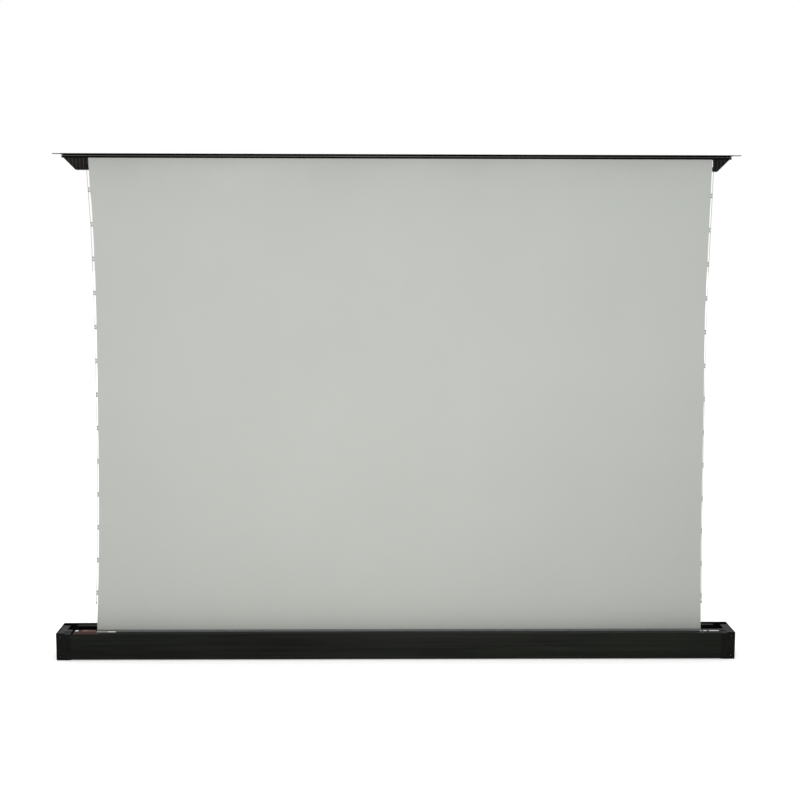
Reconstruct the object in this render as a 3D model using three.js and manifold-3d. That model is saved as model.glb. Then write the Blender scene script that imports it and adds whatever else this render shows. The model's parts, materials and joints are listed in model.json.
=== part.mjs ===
// Motorised floor-rising projection screen, 4:3, shown raised.
// A low trough housing holds a fabric roller with a tubular motor inside it. Two folding
// two-link arms behind the fabric raise a top rail, which carries the lid of the housing.
// The side edges of the fabric are pulled outwards by a cable that runs through tabs.
//
// Millimetres. +X to the right as the viewer sees the screen, -Y towards the viewer, +Z up.
// Origin: on the floor, under the middle of the housing.

import * as THREE from 'three';
import { mergeVertices } from 'three/addons/utils/BufferGeometryUtils.js';
import Module from 'manifold-3d';

const wasm = await Module();
wasm.setup();

// ---------------------------------------------------------------- driving dimensions

const GAP = 0.3;                    // between meshes that touch

// whole object
const HALF_LENGTH = 1360;           // housing, end to end 2720
const HALF_DEPTH = 79;              // housing, front to back 158
const TOP = 2000;                   // top of the lid, raised
const TRAVEL = 1889.5;              // how far the lid comes down

// housing
const FOOT_HEIGHT = 3;
const FOOT_RADIUS = 14;
const FOOT_X = 1332;
const FOOT_Y = 60;
const BASE_Z = FOOT_HEIGHT + GAP;   // underside of the trough
const BASE_THICK = 2.5;
const PANEL_TOP = 107.5;
const PANEL_THICK = 2;
const FLANGE_BACK_Y = -15.6;        // front flange over the roller, up to the fabric
const FLANGE_X0 = -1206.5;          // it stops short at the receiver
const LID_BACK_Y = 76.6;            // the lid stops before the rear panel's upright edge
const LEDGE_X = 1205;               // ledges of the rear panel, one at each end of the trough
const REAR_LIP = 6;
const CAP_BOTTOM = 1;
const CAP_TOP = 110;
const CAP_INNER_X = 1303;
const CAP_WALL = 4;
const CAP_NOTCH_X = 1326;           // pocket for the ends of the top rail
const TROUGH_HALF = CAP_INNER_X - GAP;

// roller
const ROLLER_Y = -38.5;
const ROLLER_Z = 46;
const TUBE_R = 30;
const TUBE_BORE_R = 28.2;
const ROLL_R = 31.2;                // tube and the wraps that stay on it
const TUBE_X0 = -1222;
const TUBE_X1 = 1256;
const MOTOR_R = 22.5;
const MOTOR_END_X = -740;
const MOTOR_HEAD_R = 24;

// fabric
const FABRIC_FACE_Y = -7;           // viewing face
const FABRIC_THICK = 0.8;
const FABRIC_TOP = 1989.7;
const EDGE_LEFT = [
  [46, -1211], [139, -1208.2], [189, -1205.6], [240, -1203.1], [292, -1200.9], [340, -1199.1],
  [415, -1196.2], [487, -1194.1], [560, -1192.4], [634, -1191], [709, -1189.9], [780, -1188.6],
  [854, -1187.6], [930, -1186.9], [1000, -1186.3], [1094, -1185.1], [1180, -1184.3], [1270, -1184],
  [1360, -1184.1], [1500, -1184.8], [1571, -1185.7], [1640, -1187], [1700, -1188.5],
  [1759, -1190.3], [1806, -1192.4], [1852, -1195.4], [1899, -1198.4], [1945, -1200.2], [1990, -1201.5],
];
const EDGE_RIGHT = [
  [46, 1236.5], [141, 1235.2], [224, 1233], [349, 1230.3], [472, 1227.4], [595, 1224.8],
  [718, 1222.8], [840, 1221.1], [960, 1219.6], [1080, 1218.7], [1180, 1218.3], [1263, 1218.1],
  [1334, 1218.3], [1406, 1218.9], [1477, 1219.9], [1548, 1221], [1618, 1222.3], [1689, 1223.7],
  [1759, 1225.2], [1806, 1226.4], [1852, 1227.4], [1899, 1228.2], [1945, 1229], [1990, 1230],
];
const TAB_COUNT = 13;
const TAB_PITCH = 133.8;
const TAB_FIRST_LEFT = 1864;
const TAB_FIRST_RIGHT = 1847;
const TAB_HEIGHT = 26;
const CABLE_OUT_LEFT = [            // cable, outboard of the fabric's edge
  [214, 6.8], [400, 6.4], [590, 5.5], [740, 4.6], [860, 4.6], [930, 5.4], [1020, 6.8],
  [1120, 7.7], [1300, 7.9], [1440, 9], [1700, 8.6], [1940, 9],
];
const CABLE_OUT_RIGHT = [
  [214, 3], [700, 3.2], [1100, 3.6], [1190, 4.6], [1300, 5.8], [1500, 6.2], [1940, 7],
];
const CABLE_R = 1;
const CABLE_Y = -4.5;
const CABLE_TOP = 1940;
const CABLE_BOTTOM = 214;

// folding arms
const LINK = 1100;
const BASE_PIVOT_X = 75;
const BASE_PIVOT_Z = 40;
const TOP_PIVOT_Z = 1965;
const LOWER_Y0 = 49, LOWER_Y1 = 65; // the lower arms lie behind the upper ones
const UPPER_Y0 = 25, UPPER_Y1 = 41;
const ARM_HEIGHT = 30;
const ARM_WALL = 1.6;
const HEAD_R = 18;
const PIN_R = 6;
const ELBOW_PIN_R = 7;

// top rail and lid
const RAIL_HALF = 1303;
const RAIL_Y0 = -15, RAIL_Y1 = 47;
const RAIL_BOTTOM = 1990;
const RAIL_SKIRT = 1986.3;          // lower edges of the rail's walls
const RAIL_TOP = 1996.9;
const RAIL_WALL = 2.4;
const LID_HALF = 1294;              // front strip, between the tongues
const LID_REACH = 1299;             // the rest of the lid
const LID_BOTTOM = 1997.3;
const TONGUE_X = 1326;
const TENSION_BRACKET_BOTTOM = 1940;

const ARM_ANGLE = Math.asin((TOP_PIVOT_Z - BASE_PIVOT_Z) / (2 * LINK));
const ELBOW_X = BASE_PIVOT_X + LINK * Math.cos(ARM_ANGLE);
const ELBOW_Z = BASE_PIVOT_Z + LINK * Math.sin(ARM_ANGLE);

// ---------------------------------------------------------------- materials

const finish = (color, roughness, metalness) =>
  new THREE.MeshStandardMaterial({ color, roughness, metalness, flatShading: true });

const BLACK_SHEET = finish(0x1e1f1e, 0.55, 0.6);
const BLACK_PLASTIC = finish(0x2b2c2c, 0.6, 0);
const DARK_RED = finish(0x5a403c, 0.55, 0);
const BARE_ALUMINIUM = finish(0xb9bcbe, 0.35, 0.9);
const ZINC_STEEL = finish(0x9a9da0, 0.4, 0.9);
const RUBBER = finish(0x161616, 0.9, 0);
const GREY_FABRIC = finish(0xbfc3bd, 0.85, 0);
const CLEAR_CORD = finish(0xd9dad6, 0.5, 0);
const WHITE_PLASTIC = finish(0xd8d8d4, 0.5, 0);

// ---------------------------------------------------------------- shape helpers

// one closed indexed mesh with shared vertices and its faces pointing out
function closed(geometry) {
  let g = geometry.clone();
  for (const name of Object.keys(g.attributes)) if (name !== 'position') g.deleteAttribute(name);
  g = mergeVertices(g, 1e-4);
  const p = g.attributes.position;
  const tris = [];
  let volume = 0;
  const a = new THREE.Vector3(), b = new THREE.Vector3(), c = new THREE.Vector3();
  for (let i = 0; i < g.index.count; i += 3) {
    const i0 = g.index.getX(i), i1 = g.index.getX(i + 1), i2 = g.index.getX(i + 2);
    if (i0 === i1 || i1 === i2 || i2 === i0) continue;
    tris.push(i0, i1, i2);
    a.fromBufferAttribute(p, i0); b.fromBufferAttribute(p, i1); c.fromBufferAttribute(p, i2);
    volume += a.dot(b.cross(c));
  }
  if (volume < 0) for (let i = 0; i < tris.length; i += 3) [tris[i], tris[i + 1]] = [tris[i + 1], tris[i]];
  g.setIndex(tris);
  return g;
}

function solid(geometry) {
  const g = closed(geometry);
  return new wasm.Manifold(new wasm.Mesh({
    numProp: 3,
    vertProperties: new Float32Array(g.attributes.position.array),
    triVerts: new Uint32Array(g.index.array),
  }));
}

function surface(body) {
  const m = body.getMesh();
  const g = new THREE.BufferGeometry();
  const n = m.numProp;
  const xyz = new Float32Array((m.vertProperties.length / n) * 3);
  for (let i = 0; i < xyz.length / 3; i++)
    for (let k = 0; k < 3; k++) xyz[3 * i + k] = m.vertProperties[n * i + k];
  g.setAttribute('position', new THREE.BufferAttribute(xyz, 3));
  g.setIndex(Array.from(m.triVerts));
  return g;
}

const join = (first, ...rest) => surface(rest.reduce((s, g) => s.add(solid(g)), solid(first)));
const cut = (first, ...rest) => surface(rest.reduce((s, g) => s.subtract(solid(g)), solid(first)));

function box(x0, x1, y0, y1, z0, z1) {
  return new THREE.BoxGeometry(x1 - x0, y1 - y0, z1 - z0)
    .translate((x0 + x1) / 2, (y0 + y1) / 2, (z0 + z1) / 2);
}

function outline(points, holes = []) {
  const s = new THREE.Shape(points.map(([u, v]) => new THREE.Vector2(u, v)));
  for (const h of holes) s.holes.push(new THREE.Path(h.map(([u, v]) => new THREE.Vector2(u, v))));
  return s;
}

const pull = (shape, depth) =>
  new THREE.ExtrudeGeometry(shape, { depth, steps: 1, bevelEnabled: false, curveSegments: 6 });

// an outline in (y, z), drawn along X
const prismX = (points, x0, x1, holes) => pull(outline(points, holes), x1 - x0)
  .applyMatrix4(new THREE.Matrix4().makeBasis(
    new THREE.Vector3(0, 1, 0), new THREE.Vector3(0, 0, 1), new THREE.Vector3(1, 0, 0)))
  .translate(x0, 0, 0);

// an outline in (x, z), drawn along Y
const prismY = (points, y0, y1, holes) => pull(outline(points, holes), y1 - y0)
  .rotateX(Math.PI / 2).translate(0, y1, 0);

// an outline in (x, y), drawn along Z
const prismZ = (points, z0, z1, holes) => pull(outline(points, holes), z1 - z0).translate(0, 0, z0);

const lathe = (profile, sides) =>
  new THREE.LatheGeometry(profile.map(([r, t]) => new THREE.Vector2(r, t)), sides);
const latheX = (profile, y, z, sides = 32) => lathe(profile, sides).rotateZ(-Math.PI / 2).translate(0, y, z);
const latheY = (profile, x, z, sides = 24) => lathe(profile, sides).translate(x, 0, z);
const latheZ = (profile, x, y, sides = 24) => lathe(profile, sides).rotateX(Math.PI / 2).translate(x, y, 0);

const rod = (r, t0, t1) => [[0, t0], [r, t0], [r, t1], [0, t1]];
const ring = (r0, r1, t0, t1) => [[r0, t0], [r1, t0], [r1, t1], [r0, t1], [r0, t0]];

// a smooth value through a table of [z, x] pairs
function through(table, z) {
  const n = table.length;
  if (z <= table[0][0]) return table[0][1];
  if (z >= table[n - 1][0]) return table[n - 1][1];
  let i = 0;
  while (table[i + 1][0] < z) i++;
  const slope = (k) => {
    const a = table[Math.max(k - 1, 0)], b = table[Math.min(k + 1, n - 1)];
    return (b[1] - a[1]) / (b[0] - a[0]);
  };
  const [z0, x0] = table[i], [z1, x1] = table[i + 1], h = z1 - z0, t = (z - z0) / h;
  return x0 * (2 * t ** 3 - 3 * t ** 2 + 1) + h * slope(i) * (t ** 3 - 2 * t ** 2 + t)
    + x1 * (3 * t ** 2 - 2 * t ** 3) + h * slope(i + 1) * (t ** 3 - t ** 2);
}
const edgeLeft = (z) => through(EDGE_LEFT, z);
const edgeRight = (z) => through(EDGE_RIGHT, z);

const arc = (cx, cz, r, from, to, steps) => Array.from({ length: steps + 1 }, (_, i) => {
  const a = THREE.MathUtils.degToRad(from + ((to - from) * i) / steps);
  return [cx + r * Math.cos(a), cz + r * Math.sin(a)];
});

// ---------------------------------------------------------------- assembly

const screen = new THREE.Group();
const housing = new THREE.Group();
const roller = new THREE.Group();
const hangings = new THREE.Group();
const topRail = new THREE.Group();
screen.add(housing, roller, hangings, topRail);

function put(group, name, geometry, material) {
  const mesh = new THREE.Mesh(closed(geometry), material);
  mesh.name = name;
  group.add(mesh);
  return mesh;
}

// --- housing: base, front, rear

const trough = TROUGH_HALF - GAP;
put(housing, 'base_plate',
  prismX([
    [-76.7, BASE_Z], [76.7, BASE_Z], [76.7, 11.5], [74.7, 11.5], [74.7, BASE_Z + BASE_THICK],
    [-74.7, BASE_Z + BASE_THICK], [-74.7, 11.5], [-76.7, 11.5],
  ], -trough, trough), BLACK_SHEET);

const inside = -HALF_DEPTH + PANEL_THICK;
put(housing, 'front_panel', join(
  prismX([[-HALF_DEPTH, BASE_Z], [inside, BASE_Z], [inside, PANEL_TOP], [-HALF_DEPTH, PANEL_TOP]],
    -trough, trough),
  prismX([
    [-HALF_DEPTH, PANEL_TOP - 2], [FLANGE_BACK_Y - 2, PANEL_TOP - 2], [FLANGE_BACK_Y - 2, PANEL_TOP - 8],
    [FLANGE_BACK_Y, PANEL_TOP - 8], [FLANGE_BACK_Y, PANEL_TOP], [-HALF_DEPTH, PANEL_TOP],
  ], FLANGE_X0, trough),
), BLACK_SHEET);

put(housing, 'rear_panel', join(
  prismX([
    [77, BASE_Z], [HALF_DEPTH, BASE_Z], [HALF_DEPTH, CAP_TOP], [77, CAP_TOP], [77, PANEL_TOP],
    [HALF_DEPTH - REAR_LIP, PANEL_TOP], [HALF_DEPTH - REAR_LIP, PANEL_TOP - 2], [77, PANEL_TOP - 2],
  ], -trough, trough),
  ...[-1, 1].map((s) => box(Math.min(s * LEDGE_X, s * trough), Math.max(s * LEDGE_X, s * trough),
    47.6, 77.5, PANEL_TOP - 4, PANEL_TOP - 2)),
), BLACK_SHEET);

// --- housing: end caps, each a shell that is open towards the trough, with a pocket in its
// top for the end of the rail, and a step for the tongue of the lid

const INLET = { x0: -1347, x1: -1317, z0: 30, z1: 50 };
function endCap(side) {
  const at = (x0, x1, y0, y1, z0, z1) =>
    side > 0 ? box(x0, x1, y0, y1, z0, z1) : box(-x1, -x0, y0, y1, z0, z1);
  const rounded = [
    [CAP_INNER_X, -HALF_DEPTH], ...arc(HALF_LENGTH - 3, -HALF_DEPTH + 3, 3, -90, 0, 3),
    ...arc(HALF_LENGTH - 3, HALF_DEPTH - 3, 3, 0, 90, 3), [CAP_INNER_X, HALF_DEPTH],
  ].map(([x, y]) => [side * x, y]);
  const outer = prismZ(side > 0 ? rounded : rounded.reverse(), CAP_BOTTOM, CAP_TOP);
  const cuts = [
    ...[-1, 1].map((sy) => latheZ(rod(FOOT_RADIUS + GAP, -1, FOOT_HEIGHT + GAP), side * FOOT_X, sy * FOOT_Y)),
    at(CAP_INNER_X - 1, HALF_LENGTH - CAP_WALL, -HALF_DEPTH + CAP_WALL, HALF_DEPTH - CAP_WALL,
      BASE_Z + CAP_WALL, CAP_TOP - CAP_WALL),
    at(CAP_INNER_X - 1, CAP_NOTCH_X, -20, 60, CAP_TOP - CAP_WALL - 1, CAP_TOP + 1),
    at(CAP_INNER_X - 1, CAP_NOTCH_X + 0.6, -HALF_DEPTH - 1, -48, PANEL_TOP, CAP_TOP + 1),
  ];
  if (side < 0)
    cuts.push(box(INLET.x0 - GAP, INLET.x1 + GAP, 74, 80, INLET.z0 - GAP, INLET.z1 + GAP));
  return cut(outer, ...cuts);
}
put(housing, 'end_cap_left', endCap(-1), BLACK_PLASTIC);
put(housing, 'end_cap_right', endCap(1), BLACK_PLASTIC);

// --- housing: feet, each in a round seat under an end cap

[[-1, -1], [1, -1], [-1, 1], [1, 1]].forEach(([sx, sy], i) => put(housing, `rubber_foot_${i + 1}`,
  latheZ([[0, 0], [FOOT_RADIUS - 1.5, 0], [FOOT_RADIUS, 0.8], [FOOT_RADIUS - 1, FOOT_HEIGHT], [0, FOOT_HEIGHT]],
    sx * FOOT_X, sy * FOOT_Y), RUBBER));

// --- housing: power inlet in the rear wall of the left end cap, two pins in a socket

put(housing, 'power_inlet', join(
  cut(box(INLET.x0, INLET.x1, 60, HALF_DEPTH - GAP, INLET.z0, INLET.z1),
    prismY([
      ...arc(INLET.x1 - 9.5, 40, 6, -90, 90, 6), ...arc(INLET.x0 + 9.5, 40, 6, 90, 270, 6),
    ], 66, 80)),
  latheY(rod(1.3, 65, 75), -1336, 40, 12),
  latheY(rod(1.3, 65, 75), -1328, 40, 12),
), BLACK_PLASTIC);

// --- roller supports

const plateOutline = [
  [-72, 8], [-12, 8], [-12, 70], [-20, 86], [-72, 86],
];
put(housing, 'motor_bracket', join(
  prismX(plateOutline, -CAP_INNER_X + GAP, -CAP_INNER_X + 3.3),
  prismX([[-72, 6.2], [-12, 6.2], [-12, 9], [-72, 9]], -CAP_INNER_X + GAP, -CAP_INNER_X + 26),
), ZINC_STEEL);
put(housing, 'idler_bracket', cut(join(
  prismX(plateOutline, CAP_INNER_X - 3.3, CAP_INNER_X - GAP),
  prismX([[-72, 6.2], [-12, 6.2], [-12, 9], [-72, 9]], CAP_INNER_X - 26, CAP_INNER_X - GAP),
  latheX(ring(PIN_R + GAP, 13, CAP_INNER_X - 18, CAP_INNER_X - 3), ROLLER_Y, ROLLER_Z),
), latheX(rod(PIN_R + GAP, CAP_INNER_X - 19, CAP_INNER_X + 1), ROLLER_Y, ROLLER_Z)), ZINC_STEEL);

put(housing, 'motor_head', join(
  latheX([
    [0, -1299.2], [MOTOR_HEAD_R - 6, -1299.2], [MOTOR_HEAD_R - 6, -1294], [MOTOR_HEAD_R, -1292],
    [MOTOR_HEAD_R, -1234], [MOTOR_HEAD_R - 3, -1229], [MOTOR_HEAD_R - 3, -1225], [0, -1225],
  ], ROLLER_Y, ROLLER_Z, 36),
  box(-1280, -1262, ROLLER_Y - 5, ROLLER_Y + 5, ROLLER_Z - 28, ROLLER_Z - 18),
), BLACK_PLASTIC);
put(housing, 'tubular_motor', latheX([
  [0, -1224.6], [MOTOR_R - 1.5, -1224.6], [MOTOR_R, -1220], [MOTOR_R, -900], [MOTOR_R - 0.6, -899],
  [MOTOR_R - 0.6, -890], [MOTOR_R, -889], [MOTOR_R, MOTOR_END_X - 12], [MOTOR_R - 4, MOTOR_END_X],
  [0, MOTOR_END_X],
], ROLLER_Y, ROLLER_Z, 36), BARE_ALUMINIUM);
put(housing, 'idler_pin', latheX(rod(PIN_R, 1218, 1301), ROLLER_Y, ROLLER_Z, 24), ZINC_STEEL);

// --- receiver of the remote control, over the motor head, with a lower shelf at its back

put(housing, 'receiver_box', join(
  prismX([
    [-76.6, 88], [-15.6, 88], [-15.6, 105.7], [-17.1, 107.2], [-75.1, 107.2], [-76.6, 105.7],
  ], -1296, -1207),
  prismX([[-19, 88], [-2, 88], [-2, 94.5], [-3.5, 96], [-19, 96]], -1296, -1230),
), DARK_RED);

// --- roller: tube, the ring that turns on the motor head, the wheel that the motor drives,
// the plug and bearing at the idler end, and the wraps of fabric that never leave it

put(roller, 'roller_tube', latheX(ring(TUBE_BORE_R, TUBE_R, TUBE_X0, TUBE_X1), ROLLER_Y, ROLLER_Z, 48),
  BARE_ALUMINIUM);
put(roller, 'crown_ring', latheX(ring(MOTOR_R + 0.5, TUBE_BORE_R - GAP, TUBE_X0 + 1, TUBE_X0 + 15),
  ROLLER_Y, ROLLER_Z, 36), WHITE_PLASTIC);
put(roller, 'drive_wheel', latheX([
  [0, MOTOR_END_X + 1], [8, MOTOR_END_X + 1], [8, MOTOR_END_X + 5], [TUBE_BORE_R - GAP, MOTOR_END_X + 5],
  [TUBE_BORE_R - GAP, MOTOR_END_X + 25], [0, MOTOR_END_X + 25],
], ROLLER_Y, ROLLER_Z, 36), WHITE_PLASTIC);
put(roller, 'idler_plug', latheX([
  [PIN_R + 0.4, 1214], [12, 1214], [TUBE_BORE_R - GAP, 1218], [TUBE_BORE_R - GAP, TUBE_X1],
  [TUBE_R, TUBE_X1 + GAP], [TUBE_R, TUBE_X1 + 3], [PIN_R + 0.4, TUBE_X1 + 3], [PIN_R + 0.4, 1214],
], ROLLER_Y, ROLLER_Z, 36), WHITE_PLASTIC);
put(roller, 'idler_bearing', latheX(ring(PIN_R + 0.4, 12, TUBE_X1 + 3.3, TUBE_X1 + 11),
  ROLLER_Y, ROLLER_Z, 32), ZINC_STEEL);
put(roller, 'fabric_roll', latheX(ring(TUBE_R + GAP, ROLL_R, EDGE_LEFT[0][1], EDGE_RIGHT[0][1]),
  ROLLER_Y, ROLLER_Z, 48), GREY_FABRIC);

// --- fabric, its edge strips with their tabs, and the tension cables

const heights = Array.from({ length: 25 }, (_, i) => ROLLER_Z + ((FABRIC_TOP - ROLLER_Z) * i) / 24);
put(hangings, 'screen_fabric', prismY([
  ...heights.map((z) => [edgeRight(z), z]),
  ...[...heights].reverse().map((z) => [edgeLeft(z), z]),
], FABRIC_FACE_Y, FABRIC_FACE_Y + FABRIC_THICK), GREY_FABRIC);

const cableX = (side, z) => (side < 0 ? edgeLeft(z) - through(CABLE_OUT_LEFT, z)
  : edgeRight(z) + through(CABLE_OUT_RIGHT, z));

function tabStrip(side) {
  const edge = side < 0 ? edgeLeft : edgeRight;
  const first = side < 0 ? TAB_FIRST_LEFT : TAB_FIRST_RIGHT;
  const reach = (z) => cableX(side, z) - side * (CABLE_R + 2 * GAP);
  const out = [[edge(60) + side, 60]];
  for (let k = TAB_COUNT - 1; k >= 0; k--) {
    const z = first - k * TAB_PITCH, h = TAB_HEIGHT / 2;
    out.push([edge(z - h) + side, z - h], [reach(z - h), z - h + 4],
      [reach(z + h), z + h - 4], [edge(z + h) + side, z + h],
      [edge(z + TAB_PITCH / 2) + side, Math.min(z + TAB_PITCH / 2, 1960)]);
  }
  out.push([edge(1985) + side, 1985]);
  const back = Array.from({ length: 15 }, (_, i) => 1985 - (1925 * i) / 14)
    .map((z) => [edge(z) - side * 12, z]);
  const points = [...out, ...back];
  return prismY(side > 0 ? points : points.reverse(),
    FABRIC_FACE_Y + FABRIC_THICK + GAP, FABRIC_FACE_Y + FABRIC_THICK + GAP + 0.8);
}
put(hangings, 'tab_strip_left', tabStrip(-1), GREY_FABRIC);
put(hangings, 'tab_strip_right', tabStrip(1), GREY_FABRIC);

function tensionCable(side) {
  const points = Array.from({ length: 22 }, (_, i) => {
    const z = CABLE_BOTTOM + ((CABLE_TOP - CABLE_BOTTOM) * i) / 21;
    return new THREE.Vector3(cableX(side, z), CABLE_Y, z);
  });
  return new THREE.ExtrudeGeometry(
    new THREE.Shape(arc(0, 0, CABLE_R, 0, 315, 7).map(([u, v]) => new THREE.Vector2(u, v))),
    { steps: 42, bevelEnabled: false, extrudePath: new THREE.CatmullRomCurve3(points) });
}
put(hangings, 'tension_cable_left', tensionCable(-1), CLEAR_CORD);
put(hangings, 'tension_cable_right', tensionCable(1), CLEAR_CORD);

// --- folding arms

// a head round a pin, and the plug that holds it in the end of the arm's tube, along local +X
function casting(y0, y1, bore, plugEnd) {
  const m = (y0 + y1) / 2, t = (y1 - y0) / 2 - 0.3;
  const half = (ARM_HEIGHT - 2 * ARM_WALL) / 2 - GAP;
  return cut(join(
    prismY([...arc(0, 0, HEAD_R, 45, 315, 18), [29.7, -15], [29.7, 15]].reverse(), m - t, m + t),
    box(26, plugEnd, m - (16 / 2 - ARM_WALL - GAP), m + (16 / 2 - ARM_WALL - GAP), -half, half),
  ), latheY(rod(bore, y0 - 5, y1 + 5), 0, 0, 24));
}

function armTube(y0, y1) {
  const h = ARM_HEIGHT / 2, r = 3, w = ARM_WALL;
  const corner = (cy, cz, from) => arc(cy, cz, r, from, from + 90, 3);
  return prismX([
    ...corner(y1 - r, h - r, 0), ...corner(y0 + r, h - r, 90),
    ...corner(y0 + r, -h + r, 180), ...corner(y1 - r, -h + r, 270),
  ], 30, LINK - 30, [[
    [y0 + w, -h + w], [y1 - w, -h + w], [y1 - w, h - w], [y0 + w, h - w],
  ]]);
}

const flip = (geometry) => geometry.rotateY(Math.PI);

function arms(side, word) {
  const turn = (angle) => (side > 0 ? -angle : -(Math.PI - angle));
  const lower = new THREE.Group();
  lower.position.set(side * BASE_PIVOT_X, 0, BASE_PIVOT_Z);
  lower.rotation.y = turn(ARM_ANGLE);
  const upper = new THREE.Group();
  upper.position.set(side * ELBOW_X, 0, ELBOW_Z);
  upper.rotation.y = turn(Math.PI - ARM_ANGLE);
  screen.add(lower, upper);

  put(lower, `lower_arm_tube_${word}`, armTube(LOWER_Y0, LOWER_Y1), BLACK_SHEET);
  put(lower, `lower_root_casting_${word}`, casting(LOWER_Y0, LOWER_Y1, PIN_R + 0.4, 66), ZINC_STEEL);
  put(lower, `lower_elbow_casting_${word}`,
    flip(casting(LOWER_Y0, LOWER_Y1, ELBOW_PIN_R + GAP, 66)).translate(LINK, 0, 0), ZINC_STEEL);
  put(lower, `elbow_pin_${word}`, latheY([
    [0, UPPER_Y0 - 2], [ELBOW_PIN_R - 1, UPPER_Y0 - 2], [ELBOW_PIN_R, UPPER_Y0 - 1],
    [ELBOW_PIN_R, UPPER_Y1 + 0.6], [12, UPPER_Y1 + 0.6], [12, LOWER_Y0 - 0.6],
    [ELBOW_PIN_R, LOWER_Y0 - 0.6], [ELBOW_PIN_R, LOWER_Y1 + GAP], [11, LOWER_Y1 + GAP],
    [11, LOWER_Y1 + 2], [9.5, LOWER_Y1 + 3], [0, LOWER_Y1 + 3],
  ], LINK, 0, 24), ZINC_STEEL);
  const mid = (LOWER_Y0 + LOWER_Y1) / 2;
  put(lower, `lift_spring_${word}`, latheX([
    [0, 70], [2.2, 70], [2.2, 88], [5.4, 90], [5.4, 520], [4.4, 523], [2, 523], [2, 1025], [3.4, 1025],
    [3.4, 1031], [0, 1031],
  ], mid, 0, 16), ZINC_STEEL);

  put(upper, `upper_arm_tube_${word}`, armTube(UPPER_Y0, UPPER_Y1), BLACK_SHEET);
  put(upper, `upper_elbow_casting_${word}`, casting(UPPER_Y0, UPPER_Y1, ELBOW_PIN_R + 0.4, 66), ZINC_STEEL);
  put(upper, `upper_end_casting_${word}`,
    flip(casting(UPPER_Y0, UPPER_Y1, PIN_R + 0.5, 66)).translate(LINK, 0, 0), ZINC_STEEL);

  // fixed bracket and pin at the foot of the arm
  const bx = side * BASE_PIVOT_X, bz = BASE_PIVOT_Z;
  const foot = box(bx - 36, bx + 36, LOWER_Y0 - 3, LOWER_Y1 + 3, 6.2, 8.8);
  const ear = (y0, y1) => prismY([
    [bx - 24, 7], [bx + 24, 7], ...arc(bx, bz, 17, 0, 180, 10),
  ], y0, y1);
  put(housing, `arm_base_bracket_${word}`, cut(
    join(foot, ear(LOWER_Y0 - 3, LOWER_Y0 - 0.5), ear(LOWER_Y1 + 0.5, LOWER_Y1 + 3)),
    latheY(rod(PIN_R + GAP, LOWER_Y0 - 6, LOWER_Y1 + 6), bx, bz)), ZINC_STEEL);
  put(housing, `base_pivot_pin_${word}`, latheY([
    [0, LOWER_Y0 - 5], [PIN_R, LOWER_Y0 - 5], [PIN_R, LOWER_Y1 + 3.4], [9, LOWER_Y1 + 3.4],
    [9, LOWER_Y1 + 6], [0, LOWER_Y1 + 6],
  ], bx, bz), ZINC_STEEL);

  // bracket and pin under the top rail
  const tz = TOP_PIVOT_Z;
  const roof = box(bx - 30, bx + 30, UPPER_Y0 - 3, UPPER_Y1 + 3, 1991.6, 1994.2);
  const cheek = (y0, y1) => prismY([
    [bx + 22, 1993], [bx - 22, 1993], ...arc(bx, tz, 15, 180, 360, 10),
  ], y0, y1);
  put(topRail, `top_pivot_bracket_${word}`, cut(
    join(roof, cheek(UPPER_Y0 - 3, UPPER_Y0 - 0.5), cheek(UPPER_Y1 + 0.5, UPPER_Y1 + 3)),
    latheY(rod(PIN_R + GAP, UPPER_Y0 - 6, UPPER_Y1 + 6), bx, tz)), ZINC_STEEL);
  put(topRail, `top_pivot_pin_${word}`, latheY([
    [0, UPPER_Y0 - 6], [9, UPPER_Y0 - 6], [9, UPPER_Y0 - 3.4], [PIN_R, UPPER_Y0 - 3.4],
    [PIN_R, UPPER_Y1 + 4], [0, UPPER_Y1 + 4],
  ], bx, tz), ZINC_STEEL);
}
arms(-1, 'left');
arms(1, 'right');

// --- top rail, an open channel facing down, and what it carries

put(topRail, 'top_rail', prismX([
  [RAIL_Y0, RAIL_SKIRT], [RAIL_Y0 + RAIL_WALL, RAIL_SKIRT], [RAIL_Y0 + RAIL_WALL, RAIL_TOP - RAIL_WALL],
  [RAIL_Y1 - RAIL_WALL, RAIL_TOP - RAIL_WALL], [RAIL_Y1 - RAIL_WALL, RAIL_SKIRT],
  [RAIL_Y1, RAIL_SKIRT], [RAIL_Y1, RAIL_TOP], [RAIL_Y0, RAIL_TOP],
], -RAIL_HALF, RAIL_HALF), BLACK_SHEET);

put(topRail, 'lid_plate', cut(
  prismX([
    [-HALF_DEPTH + 0.6, LID_BOTTOM], [LID_BACK_Y - 0.6, LID_BOTTOM], [LID_BACK_Y, LID_BOTTOM + 0.6],
    [LID_BACK_Y, TOP - 0.6], [LID_BACK_Y - 0.6, TOP], [-HALF_DEPTH + 0.6, TOP],
    [-HALF_DEPTH, TOP - 0.6], [-HALF_DEPTH, LID_BOTTOM + 0.6],
  ], -LID_REACH, LID_REACH),
  ...[-1, 1].map((s) => box(s * (LID_HALF + 8) - 8, s * (LID_HALF + 8) + 8, -HALF_DEPTH - 1, -50 + GAP,
    LID_BOTTOM - 1, TOP + 1)),
), BLACK_SHEET);

for (const [side, word] of [[-1, 'left'], [1, 'right']]) {
  const x0 = LID_HALF + GAP, x1 = TONGUE_X;
  put(topRail, `lid_tongue_${word}`, prismZ([
    [x0, -HALF_DEPTH], ...arc(x1 - 3, -HALF_DEPTH + 3, 3, -90, 0, 3), ...arc(x1 - 6, -56, 6, 0, 90, 4), [x0, -50],
  ].map(([x, y]) => [side * x, y]), TOP - 2.5, TOP - 0.1), BARE_ALUMINIUM);
}

put(topRail, 'fabric_batten', latheX(rod(2, -1201, 1229.5), FABRIC_FACE_Y + 0.4, RAIL_BOTTOM + 2.15, 12),
  ZINC_STEEL);

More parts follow.
